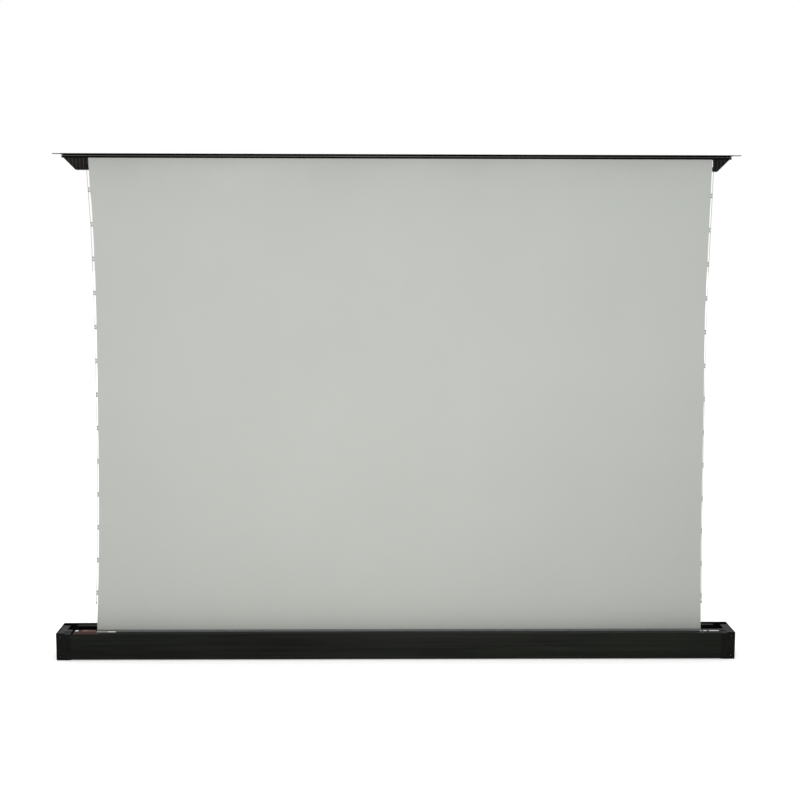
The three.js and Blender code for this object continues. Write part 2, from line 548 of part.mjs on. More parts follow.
// tension brackets: a back plate, a rim and upright ribs, cut off at 45 degrees
function tensionBracket(side, inner) {
  const b = TENSION_BRACKET_BOTTOM, t = RAIL_BOTTOM - GAP, r = 7;
  const outerTop = 1302, outerBottom = outerTop - (t - b);
  const slope = [
    [outerTop, t],
    ...arc(outerBottom - r * 0.414, b + r, r, -45, -90, 4),
  ];
  const shape = [[inner, t], ...slope, [inner, b]];
  const w = 2.6;
  const pocket = (x0, x1) => {
    const zAt = (x) => Math.max(b + w, x - outerTop + t + 1.42 * w);
    const pts = [[x0, t - w], [x1, t - w], [x1, zAt(x1)]];
    const knee = outerTop - t - 1.42 * w + b + w;
    if (x0 < knee && x1 > knee) pts.push([knee, b + w]);
    pts.push([x0, zAt(x0)]);
    return pts;
  };
  const span = outerTop - 8 - (inner + w), n = Math.max(2, Math.round(span / 14));
  const pockets = [];
  for (let i = 0; i < n; i++) {
    const x0 = inner + w + (span * i) / n, x1 = inner + w + (span * (i + 1)) / n - 1.8;
    const lift = (x) => x - outerTop + t + 1.42 * w;
    if (lift(x1) < t - w - 1) pockets.push(pocket(x0, x1));
  }
  const place = (points) => points.map(([x, z]) => [side * x, z]);
  return cut(prismY(place(shape), 1, 11), ...pockets.map((p) => prismY(place(p), 0, 8)));
}
put(topRail, 'tension_bracket_left', tensionBracket(-1, 1190), BLACK_PLASTIC);
put(topRail, 'tension_bracket_right', tensionBracket(1, 1236), BLACK_PLASTIC);

// cable adjusters: a slide that holds the top end of each cable
for (const [side, word] of [[-1, 'left'], [1, 'right']]) {
  const x = cableX(side, CABLE_TOP), w = 4.6;
  put(topRail, `cable_adjuster_${word}`, prismY([
    [x - w, CABLE_TOP + 2], [x - w + 2, CABLE_TOP + GAP], [x + w - 2, CABLE_TOP + GAP], [x + w, CABLE_TOP + 2],
    [x + w, CABLE_TOP + 18], [x - w, CABLE_TOP + 18],
  ], -3.6 - 2, 0.7), BLACK_PLASTIC);
}

export default screen;
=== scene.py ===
import math

import bmesh
import bpy
import numpy as np
from mathutils import Matrix, Vector
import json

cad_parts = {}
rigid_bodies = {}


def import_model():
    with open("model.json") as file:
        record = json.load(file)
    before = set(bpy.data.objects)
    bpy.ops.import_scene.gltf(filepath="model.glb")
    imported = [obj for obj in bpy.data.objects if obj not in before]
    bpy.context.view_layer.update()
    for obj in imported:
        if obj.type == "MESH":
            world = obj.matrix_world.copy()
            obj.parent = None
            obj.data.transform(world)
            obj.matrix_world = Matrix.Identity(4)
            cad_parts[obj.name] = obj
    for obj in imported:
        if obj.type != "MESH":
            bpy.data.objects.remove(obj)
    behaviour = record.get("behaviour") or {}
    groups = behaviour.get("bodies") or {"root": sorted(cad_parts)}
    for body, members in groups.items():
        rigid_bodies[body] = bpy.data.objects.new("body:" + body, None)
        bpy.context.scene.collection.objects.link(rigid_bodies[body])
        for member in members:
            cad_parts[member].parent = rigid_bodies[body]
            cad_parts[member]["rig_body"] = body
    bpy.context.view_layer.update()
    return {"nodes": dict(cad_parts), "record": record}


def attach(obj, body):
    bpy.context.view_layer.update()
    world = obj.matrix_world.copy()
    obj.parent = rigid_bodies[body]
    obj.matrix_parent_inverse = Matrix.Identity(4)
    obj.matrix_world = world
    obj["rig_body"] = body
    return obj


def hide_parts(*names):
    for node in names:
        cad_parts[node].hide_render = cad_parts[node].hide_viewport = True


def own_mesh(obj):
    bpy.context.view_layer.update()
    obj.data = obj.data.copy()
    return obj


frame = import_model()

# A motorised floor-rising projection screen, raised. Lengths below are millimetres in the row
# frame (+X to the right, -Y to the viewer, +Z up); MM turns them into Blender's metres.

nodes = frame["nodes"]
body_of = {name: node["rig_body"] for name, node in nodes.items()}
slot_of = {row["node"]: row["material_slot"] for row in frame["record"]["subparts"]}
scene = bpy.context.scene
MM = 0.001
SIDES = ((-1, "left"), (1, "right"))

# ------------------------------------------------------------------ camera

yaw, pitch, roll = -0.0157, 0.1176, 0.0024
flat_right = Vector((math.cos(yaw), math.sin(yaw), 0))
ahead = Vector((-math.sin(yaw) * math.cos(pitch), math.cos(yaw) * math.cos(pitch), -math.sin(pitch)))
flat_up = flat_right.cross(ahead)
right = flat_right * math.cos(roll) + flat_up * math.sin(roll)
up = flat_up * math.cos(roll) - flat_right * math.sin(roll)
camera = bpy.data.objects.new("camera", bpy.data.cameras.new("camera"))
scene.collection.objects.link(camera)
camera.data.sensor_fit = "HORIZONTAL"
camera.data.sensor_width = 36
camera.data.lens = 1392.79 / 800 * 36
camera.data.clip_start, camera.data.clip_end = 0.05, 200
camera.matrix_world = Matrix((
    (right.x, up.x, -ahead.x, -0.0751),
    (right.y, up.y, -ahead.y, -5.5024),
    (right.z, up.z, -ahead.z, 1.6899),
    (0, 0, 0, 1),
))
scene.camera = camera

# ------------------------------------------------------------------ finishes


class Finish:
    """A procedural material on the row frame's coordinates."""

    def __init__(self, name, **values):
        self.material = bpy.data.materials.new(name)
        self.material.use_nodes = True
        self.tree = self.material.node_tree
        self.tree.nodes.clear()
        out = self.add("ShaderNodeOutputMaterial")
        self.shader = self.add("ShaderNodeBsdfPrincipled")
        self.tree.links.new(self.shader.outputs[0], out.inputs[0])
        self.place = self.add("ShaderNodeTexCoord").outputs["Object"]
        self.height = None
        for key, value in values.items():
            self.shader.inputs[key.replace("_", " ")].default_value = value

    def add(self, kind, **settings):
        node = self.tree.nodes.new(kind)
        for key, value in settings.items():
            setattr(node, key, value)
        return node

    def link(self, source, target):
        if isinstance(target, str):
            target = self.shader.inputs[target]
        self.tree.links.new(source, target)

    def stretched(self, scale, turn=(0, 0, 0)):
        node = self.add("ShaderNodeMapping")
        node.inputs["Scale"].default_value = scale
        node.inputs["Rotation"].default_value = turn
        self.link(self.place, node.inputs["Vector"])
        return node.outputs[0]

    def noise(self, scale, stretch=None, detail=2.0, rough=0.5):
        node = self.add("ShaderNodeTexNoise")
        node.inputs["Scale"].default_value = scale
        node.inputs["Detail"].default_value = detail
        node.inputs["Roughness"].default_value = rough
        self.link(self.stretched(stretch) if stretch else self.place, node.inputs["Vector"])
        return node.outputs["Fac"]

    def cells(self, scale, stretch=None, feature="F1", output="Distance"):
        node = self.add("ShaderNodeTexVoronoi", feature=feature)
        node.inputs["Scale"].default_value = scale
        self.link(self.stretched(stretch) if stretch else self.place, node.inputs["Vector"])
        return node.outputs[output]

    def wave(self, scale, axis, stretch=None, distortion=0.0):
        node = self.add("ShaderNodeTexWave", wave_type="BANDS", bands_direction=axis)
        node.inputs["Scale"].default_value = scale
        node.inputs["Distortion"].default_value = distortion
        self.link(self.stretched(stretch) if stretch else self.place, node.inputs["Vector"])
        return node.outputs["Fac"]

    def math(self, operation, a, b=None):
        node = self.add("ShaderNodeMath", operation=operation)
        for socket, value in zip(node.inputs, (a, b)):
            if isinstance(value, (int, float)):
                socket.default_value = value
            elif value is not None:
                self.link(value, socket)
        return node.outputs[0]

    def span(self, value, low, high, start=0.3, end=0.7):
        node = self.add("ShaderNodeMapRange")
        for socket, number in zip(list(node.inputs)[1:5], (start, end, low, high)):
            socket.default_value = number
        self.link(value, node.inputs[0])
        return node.outputs[0]

    def ramp(self, value, *stops):
        node = self.add("ShaderNodeValToRGB")
        found = node.color_ramp.elements
        while len(found) < len(stops):
            found.new(0.5)
        for element, (at, colour) in zip(found, stops):
            element.position = at
            element.color = (*colour, 1)
        self.link(value, node.inputs[0])
        return node.outputs[0]

    def blend(self, share, a, b, how="MIX"):
        node = self.add("ShaderNodeMix", data_type="RGBA", blend_type=how)
        for socket, value in ((node.inputs[0], share), (node.inputs[6], a), (node.inputs[7], b)):
            if isinstance(value, (int, float)):
                socket.default_value = value
            elif isinstance(value, tuple):
                socket.default_value = (*value, 1)
            else:
                self.link(value, socket)
        return node.outputs[2]

    def bump(self, height, distance_mm, strength=1.0):
        node = self.add("ShaderNodeBump")
        node.inputs["Strength"].default_value = strength
        node.inputs["Distance"].default_value = distance_mm * MM
        self.link(height, node.inputs["Height"])
        if self.height is not None:
            self.link(self.height, node.inputs["Normal"])
        self.height = node.outputs[0]
        self.link(self.height, "Normal")


def brushed_black(name, along, low, high, gloss, grain=(0.36, 0.56)):
    """Black anodised aluminium with a brushed grain that runs along one axis."""
    run = tuple(0.012 if axis == along else 1.0 for axis in "xyz")
    long_run = tuple(0.004 if axis == along else 1.0 for axis in "xyz")
    f = Finish(name, Specular_IOR_Level=gloss, Metallic=0.0)
    streak = f.noise(170, run, detail=4, rough=0.7)
    line = f.noise(1500, long_run, detail=2)
    broad = f.noise(1.6, detail=2)
    both = f.math("MULTIPLY_ADD", f.span(line, 0, 1), 0.25)
    node = both.node
    f.link(f.math("MULTIPLY", f.span(streak, 0, 1, 0.36, 0.64), 0.75), node.inputs[2])
    colour = f.ramp(both, (0.0, low), (0.55, tuple((a + b) / 2 for a, b in zip(low, high))), (1.0, high))
    f.link(f.blend(f.span(broad, 0.0, 0.35), colour, tuple(v * 1.5 for v in high)), "Base Color")
    f.link(f.span(both, *grain, start=0, end=1), "Roughness")
    f.bump(line, 0.02, 0.5)
    f.bump(streak, 0.03, 0.35)
    return f.material


def grained_plastic(name, low, high, gloss, rough=(0.5, 0.64), grain_mm=0.05, scale=1600):
    f = Finish(name, Specular_IOR_Level=gloss)
    fine = f.noise(scale, detail=3, rough=0.6)
    broad = f.noise(28, detail=3)
    f.link(f.ramp(broad, (0.3, low), (0.7, high)), "Base Color")
    f.link(f.span(fine, *rough), "Roughness")
    f.bump(fine, grain_mm, 0.6)
    return f.material


def powder_black(name):
    f = Finish(name, Specular_IOR_Level=0.16)
    peel = f.cells(900)
    broad = f.noise(14, detail=3)
    f.link(f.ramp(broad, (0.3, (0.0055, 0.0056, 0.0055)), (0.7, (0.009, 0.0092, 0.009))), "Base Color")
    f.link(f.span(peel, 0.5, 0.68, start=0, end=0.8), "Roughness")
    f.bump(peel, 0.05, 0.5)
    return f.material


def metal(name, low, high, rough, run=None, scale=260, mottle=35):
    """Bare or plated metal; run is the stretch of its grain."""
    f = Finish(name, Metallic=1.0)
    fine = f.noise(scale, run, detail=4, rough=0.6)
    broad = f.noise(mottle, detail=4, rough=0.55)
    mixed = f.math("MULTIPLY_ADD", fine, 0.5)
    f.link(f.math("MULTIPLY", broad, 0.5), mixed.node.inputs[2])
    f.link(f.ramp(mixed, (0.35, low), (0.65, high)), "Base Color")
    f.link(f.span(mixed, *rough, start=0.35, end=0.65), "Roughness")
    f.bump(fine, 0.012, 0.5)
    return f.material


BLACK_PANEL = brushed_black("black_brushed_aluminium", "x", (0.0004, 0.0006, 0.0003), (0.0088, 0.0104, 0.0078), 0.050)
BLACK_LID = brushed_black("black_brushed_lid", "x", (0.0016, 0.0018, 0.0015), (0.0068, 0.0074, 0.0064), 0.10)
BLACK_RAIL = brushed_black("black_brushed_rail", "x", (0.0090, 0.0096, 0.0086), (0.0190, 0.0200, 0.0182), 0.14)
# the rail's lighter satin front band is a painted highlight; its near-black dull band is painted shade
RAIL_PAINTED_HIGHLIGHT = brushed_black("painted_highlight_rail_band", "x", (0.0240, 0.0255, 0.0235), (0.0370, 0.0385, 0.0360), 0.20)
RAIL_PAINTED_SHADE = brushed_black("painted_shade_rail_band", "x", (0.0002, 0.0002, 0.0002), (0.0012, 0.0013, 0.0011), 0.0)
BLACK_ARM = brushed_black("black_anodised_extrusion", "x", (0.0110, 0.0115, 0.0120), (0.0230, 0.0240, 0.0250), 0.38, (0.28, 0.42))
BLACK_STEEL = powder_black("black_powder_coated_steel")
BLACK_PLASTIC = grained_plastic("black_moulded_plastic", (0.0022, 0.0024, 0.0020), (0.0046, 0.0049, 0.0041), 0.055)
# lighter grey on the end caps' upward faces: painted light on their tops
CAP_TOP = grained_plastic("dark_grey_satin_plastic", (0.0140, 0.0141, 0.0150), (0.0270, 0.0272, 0.0286), 0.12, (0.55, 0.7))
DARK_BRACKET = grained_plastic("black_ribbed_plastic", (0.0022, 0.0023, 0.0020), (0.0046, 0.0048, 0.0043), 0.10, (0.42, 0.58), 0.04)
# a lighter copy of the black plastic; on the bracket rims and ribs it is a painted highlight
BRACKET_RIM = grained_plastic("pale_satin_black_plastic", (0.0230, 0.0240, 0.0220), (0.0400, 0.0410, 0.0385), 0.22, (0.36, 0.5), 0.03)
BRACKET_FLOOR = grained_plastic("black_pocket_floor", (0.0085, 0.0085, 0.0078), (0.0190, 0.0190, 0.0176), 0.05, (0.6, 0.72), 0.05)
# dull near-black; on the lid's front edge and underside it is painted shade
DULL_BLACK_AND_PAINTED_SHADE = grained_plastic("dull_black_plastic", (0.0002, 0.0002, 0.0002), (0.0007, 0.0007, 0.0006), 0.0, (0.7, 0.85), 0.03)
FELT = grained_plastic("grey_wiper_felt", (0.105, 0.112, 0.109), (0.140, 0.149, 0.146), 0.1, (0.85, 0.98), 0.1, 1100)
RUBBER = grained_plastic("black_rubber", (0.010, 0.010, 0.010), (0.017, 0.017, 0.0165), 0.12, (0.8, 0.95), 0.08, 900)
NYLON = grained_plastic("white_nylon", (0.62, 0.61, 0.575), (0.70, 0.69, 0.66), 0.4, (0.4, 0.52), 0.02)
WHITE_SHELL = grained_plastic("white_connector_plastic", (0.80, 0.80, 0.77), (0.88, 0.88, 0.86), 0.35, (0.4, 0.5), 0.02)
BARE = metal("mill_finish_aluminium", (0.60, 0.61, 0.62), (0.74, 0.75, 0.76), (0.3, 0.42), (0.02, 1, 1), 500)
TONGUE = metal("dark_satin_tongue", (0.055, 0.056, 0.057), (0.095, 0.096, 0.098), (0.4, 0.54), (1, 0.03, 1), 420)
ZINC = metal("zinc_plated_steel", (0.40, 0.415, 0.43), (0.56, 0.565, 0.56), (0.26, 0.42), None, 220, 60)
SPRING = metal("spring_steel", (0.16, 0.16, 0.165), (0.25, 0.25, 0.255), (0.28, 0.4), None, 400, 90)
SCREW = metal("black_oxide_screw", (0.018, 0.018, 0.019), (0.032, 0.032, 0.033), (0.35, 0.5), None, 500, 200)
COPPER_PIN = metal("brass_pin", (0.62, 0.46, 0.20), (0.72, 0.55, 0.27), (0.25, 0.36), None, 600, 200)


def receiver_red(name, low, high, gloss=0.3):
    f = Finish(name, Specular_IOR_Level=gloss, Roughness=0.62)
    cloud = f.noise(38, detail=4, rough=0.62)
    fine = f.noise(1500, detail=2)
    f.link(f.ramp(cloud, (0.32, low), (0.68, high)), "Base Color")
    f.bump(fine, 0.03, 0.5)
    return f.material


RED_BODY = receiver_red("dark_red_moulded_plastic", (0.031, 0.0155, 0.0130), (0.059, 0.032, 0.027), 0.03)
# the window's light red-brown is a painted highlight
RED_WINDOW_PAINTED_HIGHLIGHT = receiver_red("red_brown_window_painted_highlight", (0.070, 0.028, 0.026), (0.225, 0.128, 0.118), 0.05)
# the lower shelf's deep red is painted shade
RED_SHELF_PAINTED_SHADE = receiver_red("deep_red_shelf_painted_shade", (0.012, 0.0020, 0.0025), (0.024, 0.005, 0.005), 0.03)


def screen_cloth(name, low, high, sheen, weave_mm, top=None):
    """Coated projection fabric: a fine plain weave under a matt coat; with top given, it is painted lighter over its
    top 185 mm, painted light that offsets the lid's shade.
    """
    f = Finish(name, Specular_IOR_Level=0.18, Roughness=0.9, Sheen_Weight=sheen, Sheen_Roughness=0.5)
    warp = f.wave(310, "X", distortion=0.6)
    weft = f.wave(310, "Z", distortion=0.6)
    weave = f.math("MULTIPLY", warp, weft)
    cloud = f.noise(2.2, detail=4, rough=0.55)
    speck = f.noise(900, detail=2)
    tone = f.math("MULTIPLY_ADD", f.span(speck, 0, 1), 0.3)
    f.link(f.math("MULTIPLY", f.span(cloud, 0, 1), 0.7), tone.node.inputs[2])
    if top:
        # painted light: the colour ramps toward the top colour over the top 185 mm, where the lid's shade falls
        parts = f.add("ShaderNodeSeparateXYZ")
        f.link(f.place, parts.inputs[0])
        head = f.math("POWER", f.span(parts.outputs["Z"], 0, 1, 1.80, 1.985), 1.5)
        both = f.math("MULTIPLY_ADD", tone, 0.5)
        f.link(f.math("MULTIPLY", head, 0.5), both.node.inputs[2])
        f.link(f.ramp(both, (0.05, low), (0.45, high), (0.95, top)), "Base Color")
    else:
        f.link(f.ramp(tone, (0.1, low), (0.9, high)), "Base Color")
    f.bump(weave, weave_mm, 0.35)
    f.bump(speck, 0.02, 0.3)
    return f.material


# the third colour is painted light: the lighter cloth right under the lid offsets the lid's shade
CLOTH = screen_cloth("grey_projection_cloth", (0.302, 0.319, 0.296), (0.313, 0.330, 0.307), 0.0, 0.03,
                     (0.353, 0.371, 0.347))
CLOTH_BACK = screen_cloth("black_cloth_backing", (0.0125, 0.0128, 0.0132), (0.0185, 0.0189, 0.0193), 0.02, 0.05)
TAB_CLOTH = screen_cloth("pale_tab_cloth", (0.345, 0.355, 0.340), (0.395, 0.405, 0.390), 0.0, 0.05)


def cord_finish(name):
    f = Finish(name, Specular_IOR_Level=0.5, Roughness=0.34)
    strand = f.noise(900, (1, 1, 0.25), detail=2)
    f.link(f.ramp(strand, (0.3, (0.20, 0.203, 0.197)), (0.7, (0.29, 0.293, 0.285))), "Base Color")
    f.bump(strand, 0.03, 0.5)
    return f.material


CORD = cord_finish("translucent_nylon_cord")
RIVET = grained_plastic("grey_tab_rivet", (0.050, 0.051, 0.052), (0.075, 0.076, 0.077), 0.35, (0.4, 0.5), 0.02)
WIRE_BLACK = grained_plastic("black_wire", (0.010, 0.010, 0.011), (0.016, 0.016, 0.017), 0.4, (0.35, 0.45), 0.02)
WIRE_BLUE = grained_plastic("blue_wire", (0.02, 0.06, 0.20), (0.03, 0.075, 0.24), 0.4, (0.35, 0.45), 0.02)
WIRE_BROWN = grained_plastic("brown_wire", (0.10, 0.045, 0.02), (0.13, 0.06, 0.03), 0.4, (0.35, 0.45), 0.02)


def pale_floor(name):
    f = Finish(name, Specular_IOR_Level=0.0, Roughness=1.0)
    cloud = f.noise(0.7, detail=2)
    f.link(f.ramp(cloud, (0.3, (0.955, 0.955, 0.955)), (0.7, (0.965, 0.965, 0.965))), "Base Color")
    f.shader.inputs["Emission Color"].default_value = (1, 1, 1, 1)
    f.shader.inputs["Emission Strength"].default_value = 0.22
    return f.material


# ------------------------------------------------------------------ shapes, in millimetres


def oriented(points, axis, centre=(0, 0, 0)):
    """(u, v, t) points with t along the axis, moved to centre."""
    turned = {
        "x": lambda u, v, t: (t, u, v),
        "y": lambda u, v, t: (v, t, u),
        "z": lambda u, v, t: (u, v, t),
    }[axis]
    return [tuple(a + b for a, b in zip(turned(*p), centre)) for p in points]


def lathe(profile, axis, centre=(0, 0, 0), sides=64):
    """A turned solid from (radius, along) pairs; a profile that ends where it starts is a ring."""
    ring = profile[0] == profile[-1]
    rows = profile[:-1] if ring else profile
    points, rings = [], []
    for r, t in rows:
        if r < 1e-6:
            rings.append([len(points)])
            points.append((0.0, 0.0, t))
        else:
            rings.append(list(range(len(points), len(points) + sides)))
            points += [(r * math.cos(2 * math.pi * i / sides), r * math.sin(2 * math.pi * i / sides), t)
                       for i in range(sides)]
    faces = []
    pairs = list(zip(rings, rings[1:])) + ([(rings[-1], rings[0])] if ring else [])
    for a, b in pairs:
        if len(a) == 1 and len(b) == 1:
            continue
        for i in range(sides):
            j = (i + 1) % sides
            if len(a) == 1:
                faces.append((a[0], b[j], b[i]))
            elif len(b) == 1:
                faces.append((a[i], a[j], b[0]))
            else:
                faces.append((a[i], a[j], b[j], b[i]))
    return oriented(points, axis, centre), faces


def soften(profile, size=0.4):
    """The profile with each corner cut back to a short round."""
    ring = profile[0] == profile[-1]
    rows = profile[:-1] if ring else profile
    n, out = len(rows), []
    for i, b in enumerate(rows):
        if not ring and i in (0, n - 1):
            out.append(b)
            continue
        a, c = rows[i - 1], rows[(i + 1) % n]
        u, v = (a[0] - b[0], a[1] - b[1]), (c[0] - b[0], c[1] - b[1])
        lu, lv = math.hypot(*u), math.hypot(*v)
        if lu < 1e-6 or lv < 1e-6:
            continue
        s = min(size, 0.42 * lu, 0.42 * lv)
        p = (b[0] + u[0] * s / lu, b[1] + u[1] * s / lu)
        q = (b[0] + v[0] * s / lv, b[1] + v[1] * s / lv)
        m = ((p[0] + q[0]) / 4 + b[0] / 2, (p[1] + q[1]) / 4 + b[1] / 2)
        out += [p, m, q]
    return out + [out[0]] if ring else out


def rod(r, t0, t1):
    return [(0, t0), (r, t0), (r, t1), (0, t1)]


def ring_of(r0, r1, t0, t1):
    return [(r0, t0), (r1, t0), (r1, t1), (r0, t1), (r0, t0)]


def block(x0, x1, y0, y1, z0, z1, edge=0.4, steps=2):
    """A box with rounded edges."""
    bm = bmesh.new()
    bmesh.ops.create_cube(bm, size=1)
    for v in bm.verts:
        v.co = ((x0 + x1) / 2 + v.co.x * (x1 - x0), (y0 + y1) / 2 + v.co.y * (y1 - y0),
                (z0 + z1) / 2 + v.co.z * (z1 - z0))
    if edge:
        bmesh.ops.bevel(bm, geom=list(bm.edges), offset=edge, segments=steps, profile=0.5,
                        affect="EDGES", clamp_overlap=True)
    bm.verts.index_update()
    made = [tuple(v.co) for v in bm.verts], [tuple(v.index for v in f.verts) for f in bm.faces]
    bm.free()
    return made


def plate(outline, t0, t1, axis, holes=(), edge=0.4, steps=2):
    """A flat plate with rounded rims, from a 2D outline: (x, z) for axis y, (y, z) for axis x,
    (x, y) for axis z."""
    curve = bpy.data.curves.new("plate", "CURVE")
    curve.dimensions = "2D"
    curve.fill_mode = "BOTH"
    curve.extrude = (t1 - t0) / 2 - edge
    curve.bevel_depth = edge
    curve.bevel_resolution = steps
    curve.offset = -edge
    for loop in (outline, *holes):
        spline = curve.splines.new("POLY")
        spline.points.add(len(loop) - 1)
        for point, (u, v) in zip(spline.points, loop):
            point.co = (u, v, 0, 1)
        spline.use_cyclic_u = True
    holder = bpy.data.objects.new("plate", curve)
    scene.collection.objects.link(holder)
    bpy.context.view_layer.update()
    mesh = bpy.data.meshes.new_from_object(holder.evaluated_get(bpy.context.evaluated_depsgraph_get()))
    bm = bmesh.new()
    bm.from_mesh(mesh)
    bmesh.ops.remove_doubles(bm, verts=bm.verts, dist=1e-3)
    bm.verts.index_update()
    mid = (t0 + t1) / 2
    turned = {"x": lambda p: (p.z + mid, p.x, p.y), "y": lambda p: (p.x, p.z + mid, p.y),
              "z": lambda p: (p.x, p.y, p.z + mid)}[axis]
    made = [turned(v.co) for v in bm.verts], [tuple(v.index for v in f.verts) for f in bm.faces]
    bm.free()
    bpy.data.objects.remove(holder)
    bpy.data.curves.remove(curve)
    bpy.data.meshes.remove(mesh)
    return made


def arc(cx, cz, r, start, end, steps):
    return [(cx + r * math.cos(math.radians(start + (end - start) * i / steps)),
             cz + r * math.sin(math.radians(start + (end - start) * i / steps))) for i in range(steps + 1)]


def circle(cx, cz, r, steps=48):
    return arc(cx, cz, r, 0, 360 - 360 / steps, steps - 1)


def tube(path, radius, sides=10, cap=True):
    """A round tube along a path; radius is a number, or a list with one for each point."""
    points = [Vector(p) for p in path]
    radii = radius if isinstance(radius, (list, tuple)) else [radius] * len(points)
    verts, faces = [], []
    tangent = (points[1] - points[0]).normalized()
    side = tangent.orthogonal().normalized()
    for k, p in enumerate(points):
        now = (points[min(k + 1, len(points) - 1)] - points[max(k - 1, 0)]).normalized()
        side = (side - now * side.dot(now)).normalized()
        other = now.cross(side)
        for i in range(sides):
            a = 2 * math.pi * i / sides
            verts.append(tuple(p + (side * math.cos(a) + other * math.sin(a)) * radii[k]))
    for k in range(len(points) - 1):
        for i in range(sides):
            j = (i + 1) % sides
            a, b = k * sides, (k + 1) * sides
            faces.append((a + i, a + j, b + j, b + i))
    if cap:
        faces.append(tuple(range(sides)))
        faces.append(tuple(range(len(verts) - sides, len(verts)))[::-1])
    return verts, faces


def smooth_path(points, steps=8):
    """A Catmull-Rom line through the points."""
    p = [Vector(points[0])] + [Vector(q) for q in points] + [Vector(points[-1])]
    out = []
    for i in range(1, len(p) - 2):
        for k in range(steps):
            t = k / steps
            out.append(0.5 * (2 * p[i] + (p[i + 1] - p[i - 1]) * t
                              + (2 * p[i - 1] - 5 * p[i] + 4 * p[i + 1] - p[i + 2]) * t * t
                              + (3 * p[i] - p[i - 1] - 3 * p[i + 1] + p[i + 2]) * t ** 3))
    return out + [p[-2]]


def screw(at, normal, r=2.8, high=1.6, socket=1.3, deep=1.0, sides=30):
    """A button head with a hexagon socket, sitting at a point on a surface."""
    rows = [(0.0, -0.6 * high), (r, -0.6 * high), (r, high * 0.12), (r * 0.97, high * 0.35), (r * 0.86, high * 0.7),
            (r * 0.7, high * 0.93), (r * 0.58, high)]
    points, faces = [(0.0, 0.0, rows[0][1])], []
    for q, t in rows[1:]:
        points += [(q * math.cos(2 * math.pi * i / sides), q * math.sin(2 * math.pi * i / sides), t) for i in range(sides)]
    for t in (high, high - deep):
        for i in range(sides):
            a = 2 * math.pi * i / sides
            step = (a % (math.pi / 3)) - math.pi / 6
            q = socket * math.cos(math.pi / 6) / math.cos(step)
            points.append((q * math.cos(a), q * math.sin(a), t))
    points.append((0.0, 0.0, high - deep - 0.25))
    count = len(rows) - 1 + 2
    for i in range(sides):
        j = (i + 1) % sides
        faces.append((0, 1 + j, 1 + i))
        for k in range(count - 1):
            a, b = 1 + k * sides, 1 + (k + 1) * sides
            faces.append((a + i, a + j, b + j, b + i))
        last = 1 + (count - 1) * sides
        faces.append((last + i, last + j, len(points) - 1))
    turn = Vector((0, 0, 1)).rotation_difference(Vector(normal)).to_matrix()
    return [tuple(turn @ Vector(p) + Vector(at)) for p in points], faces


class Bag:
    """Shapes gathered into one mesh, each with a finish number."""

    def __init__(self, *shapes):
        self.verts, self.faces, self.marks = [], [], []
        for shape in shapes:
            self.add(shape)

    def add(self, shape, mark=0):
        verts, faces = shape
        k = len(self.verts)
        self.verts += verts
        self.faces += [tuple(i + k for i in f) for f in faces]
        self.marks += [mark] * len(faces)
        return self


def piece(name, bag, finish, body, slot=None, smooth=38, replaces=()):
    """A Blender object from a bag or a single shape, riding on a body."""
    if not isinstance(bag, Bag):
        bag = Bag(bag)
    mesh = bpy.data.meshes.new(name)
    mesh.from_pydata([(x * MM, y * MM, z * MM) for x, y, z in bag.verts], [], bag.faces)
    for f in finish if isinstance(finish, (list, tuple)) else [finish]:
        mesh.materials.append(f)
    mesh.polygons.foreach_set("material_index", bag.marks)
    bm = bmesh.new()
    bm.from_mesh(mesh)
    bmesh.ops.recalc_face_normals(bm, faces=bm.faces)
    bm.to_mesh(mesh)
    bm.free()
    mesh.shade_smooth()
    mesh.set_sharp_from_angle(angle=math.radians(smooth))
    made = bpy.data.objects.new(name, mesh)
    scene.collection.objects.link(made)
    if replaces:
        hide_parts(*replaces)
        slot = slot or slot_of[replaces[0]]
    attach(made, body)
    return made


def stand_in(node, bag, finish, smooth=38, also=()):
    """A finer piece that stands for a CAD node."""
    return piece(node + ".look", bag, finish, body_of[node], smooth=smooth, replaces=(node, *also))


def refine(node, finish, edge=0.4, steps=2, angle=26, edit=None):
    """The CAD node's own shape with rounded edges."""
    bm = bmesh.new()
    bm.from_mesh(nodes[node].data)
    bmesh.ops.remove_doubles(bm, verts=bm.verts, dist=2e-6)
    bmesh.ops.dissolve_limit(bm, angle_limit=math.radians(0.5), verts=bm.verts, edges=bm.edges)
    bmesh.ops.recalc_face_normals(bm, faces=bm.faces)
    for f in bm.faces:
        f.material_index = 0
        f.smooth = True
    if edit:
        edit(bm)
    mesh = bpy.data.meshes.new(node + ".look")
    bm.to_mesh(mesh)
    bm.free()
    mesh.shade_smooth()
    holder = bpy.data.objects.new("holder", mesh)
    scene.collection.objects.link(holder)
    cut = holder.modifiers.new("edge", "BEVEL")
    cut.width = edge * MM
    cut.segments = steps
    cut.limit_method = "ANGLE"
    cut.angle_limit = math.radians(angle)
    cut.harden_normals = True
    cut.use_clamp_overlap = True
    bpy.context.view_layer.update()
    final = bpy.data.meshes.new_from_object(holder.evaluated_get(bpy.context.evaluated_depsgraph_get()))
    bpy.data.objects.remove(holder)
    bpy.data.meshes.remove(mesh)
    for f in finish if isinstance(finish, (list, tuple)) else [finish]:
        final.materials.append(f)
    made = bpy.data.objects.new(node + ".look", final)
    scene.collection.objects.link(made)
    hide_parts(node)
    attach(made, body_of[node])
    return made


# ------------------------------------------------------------------ dimensions of the CAD model

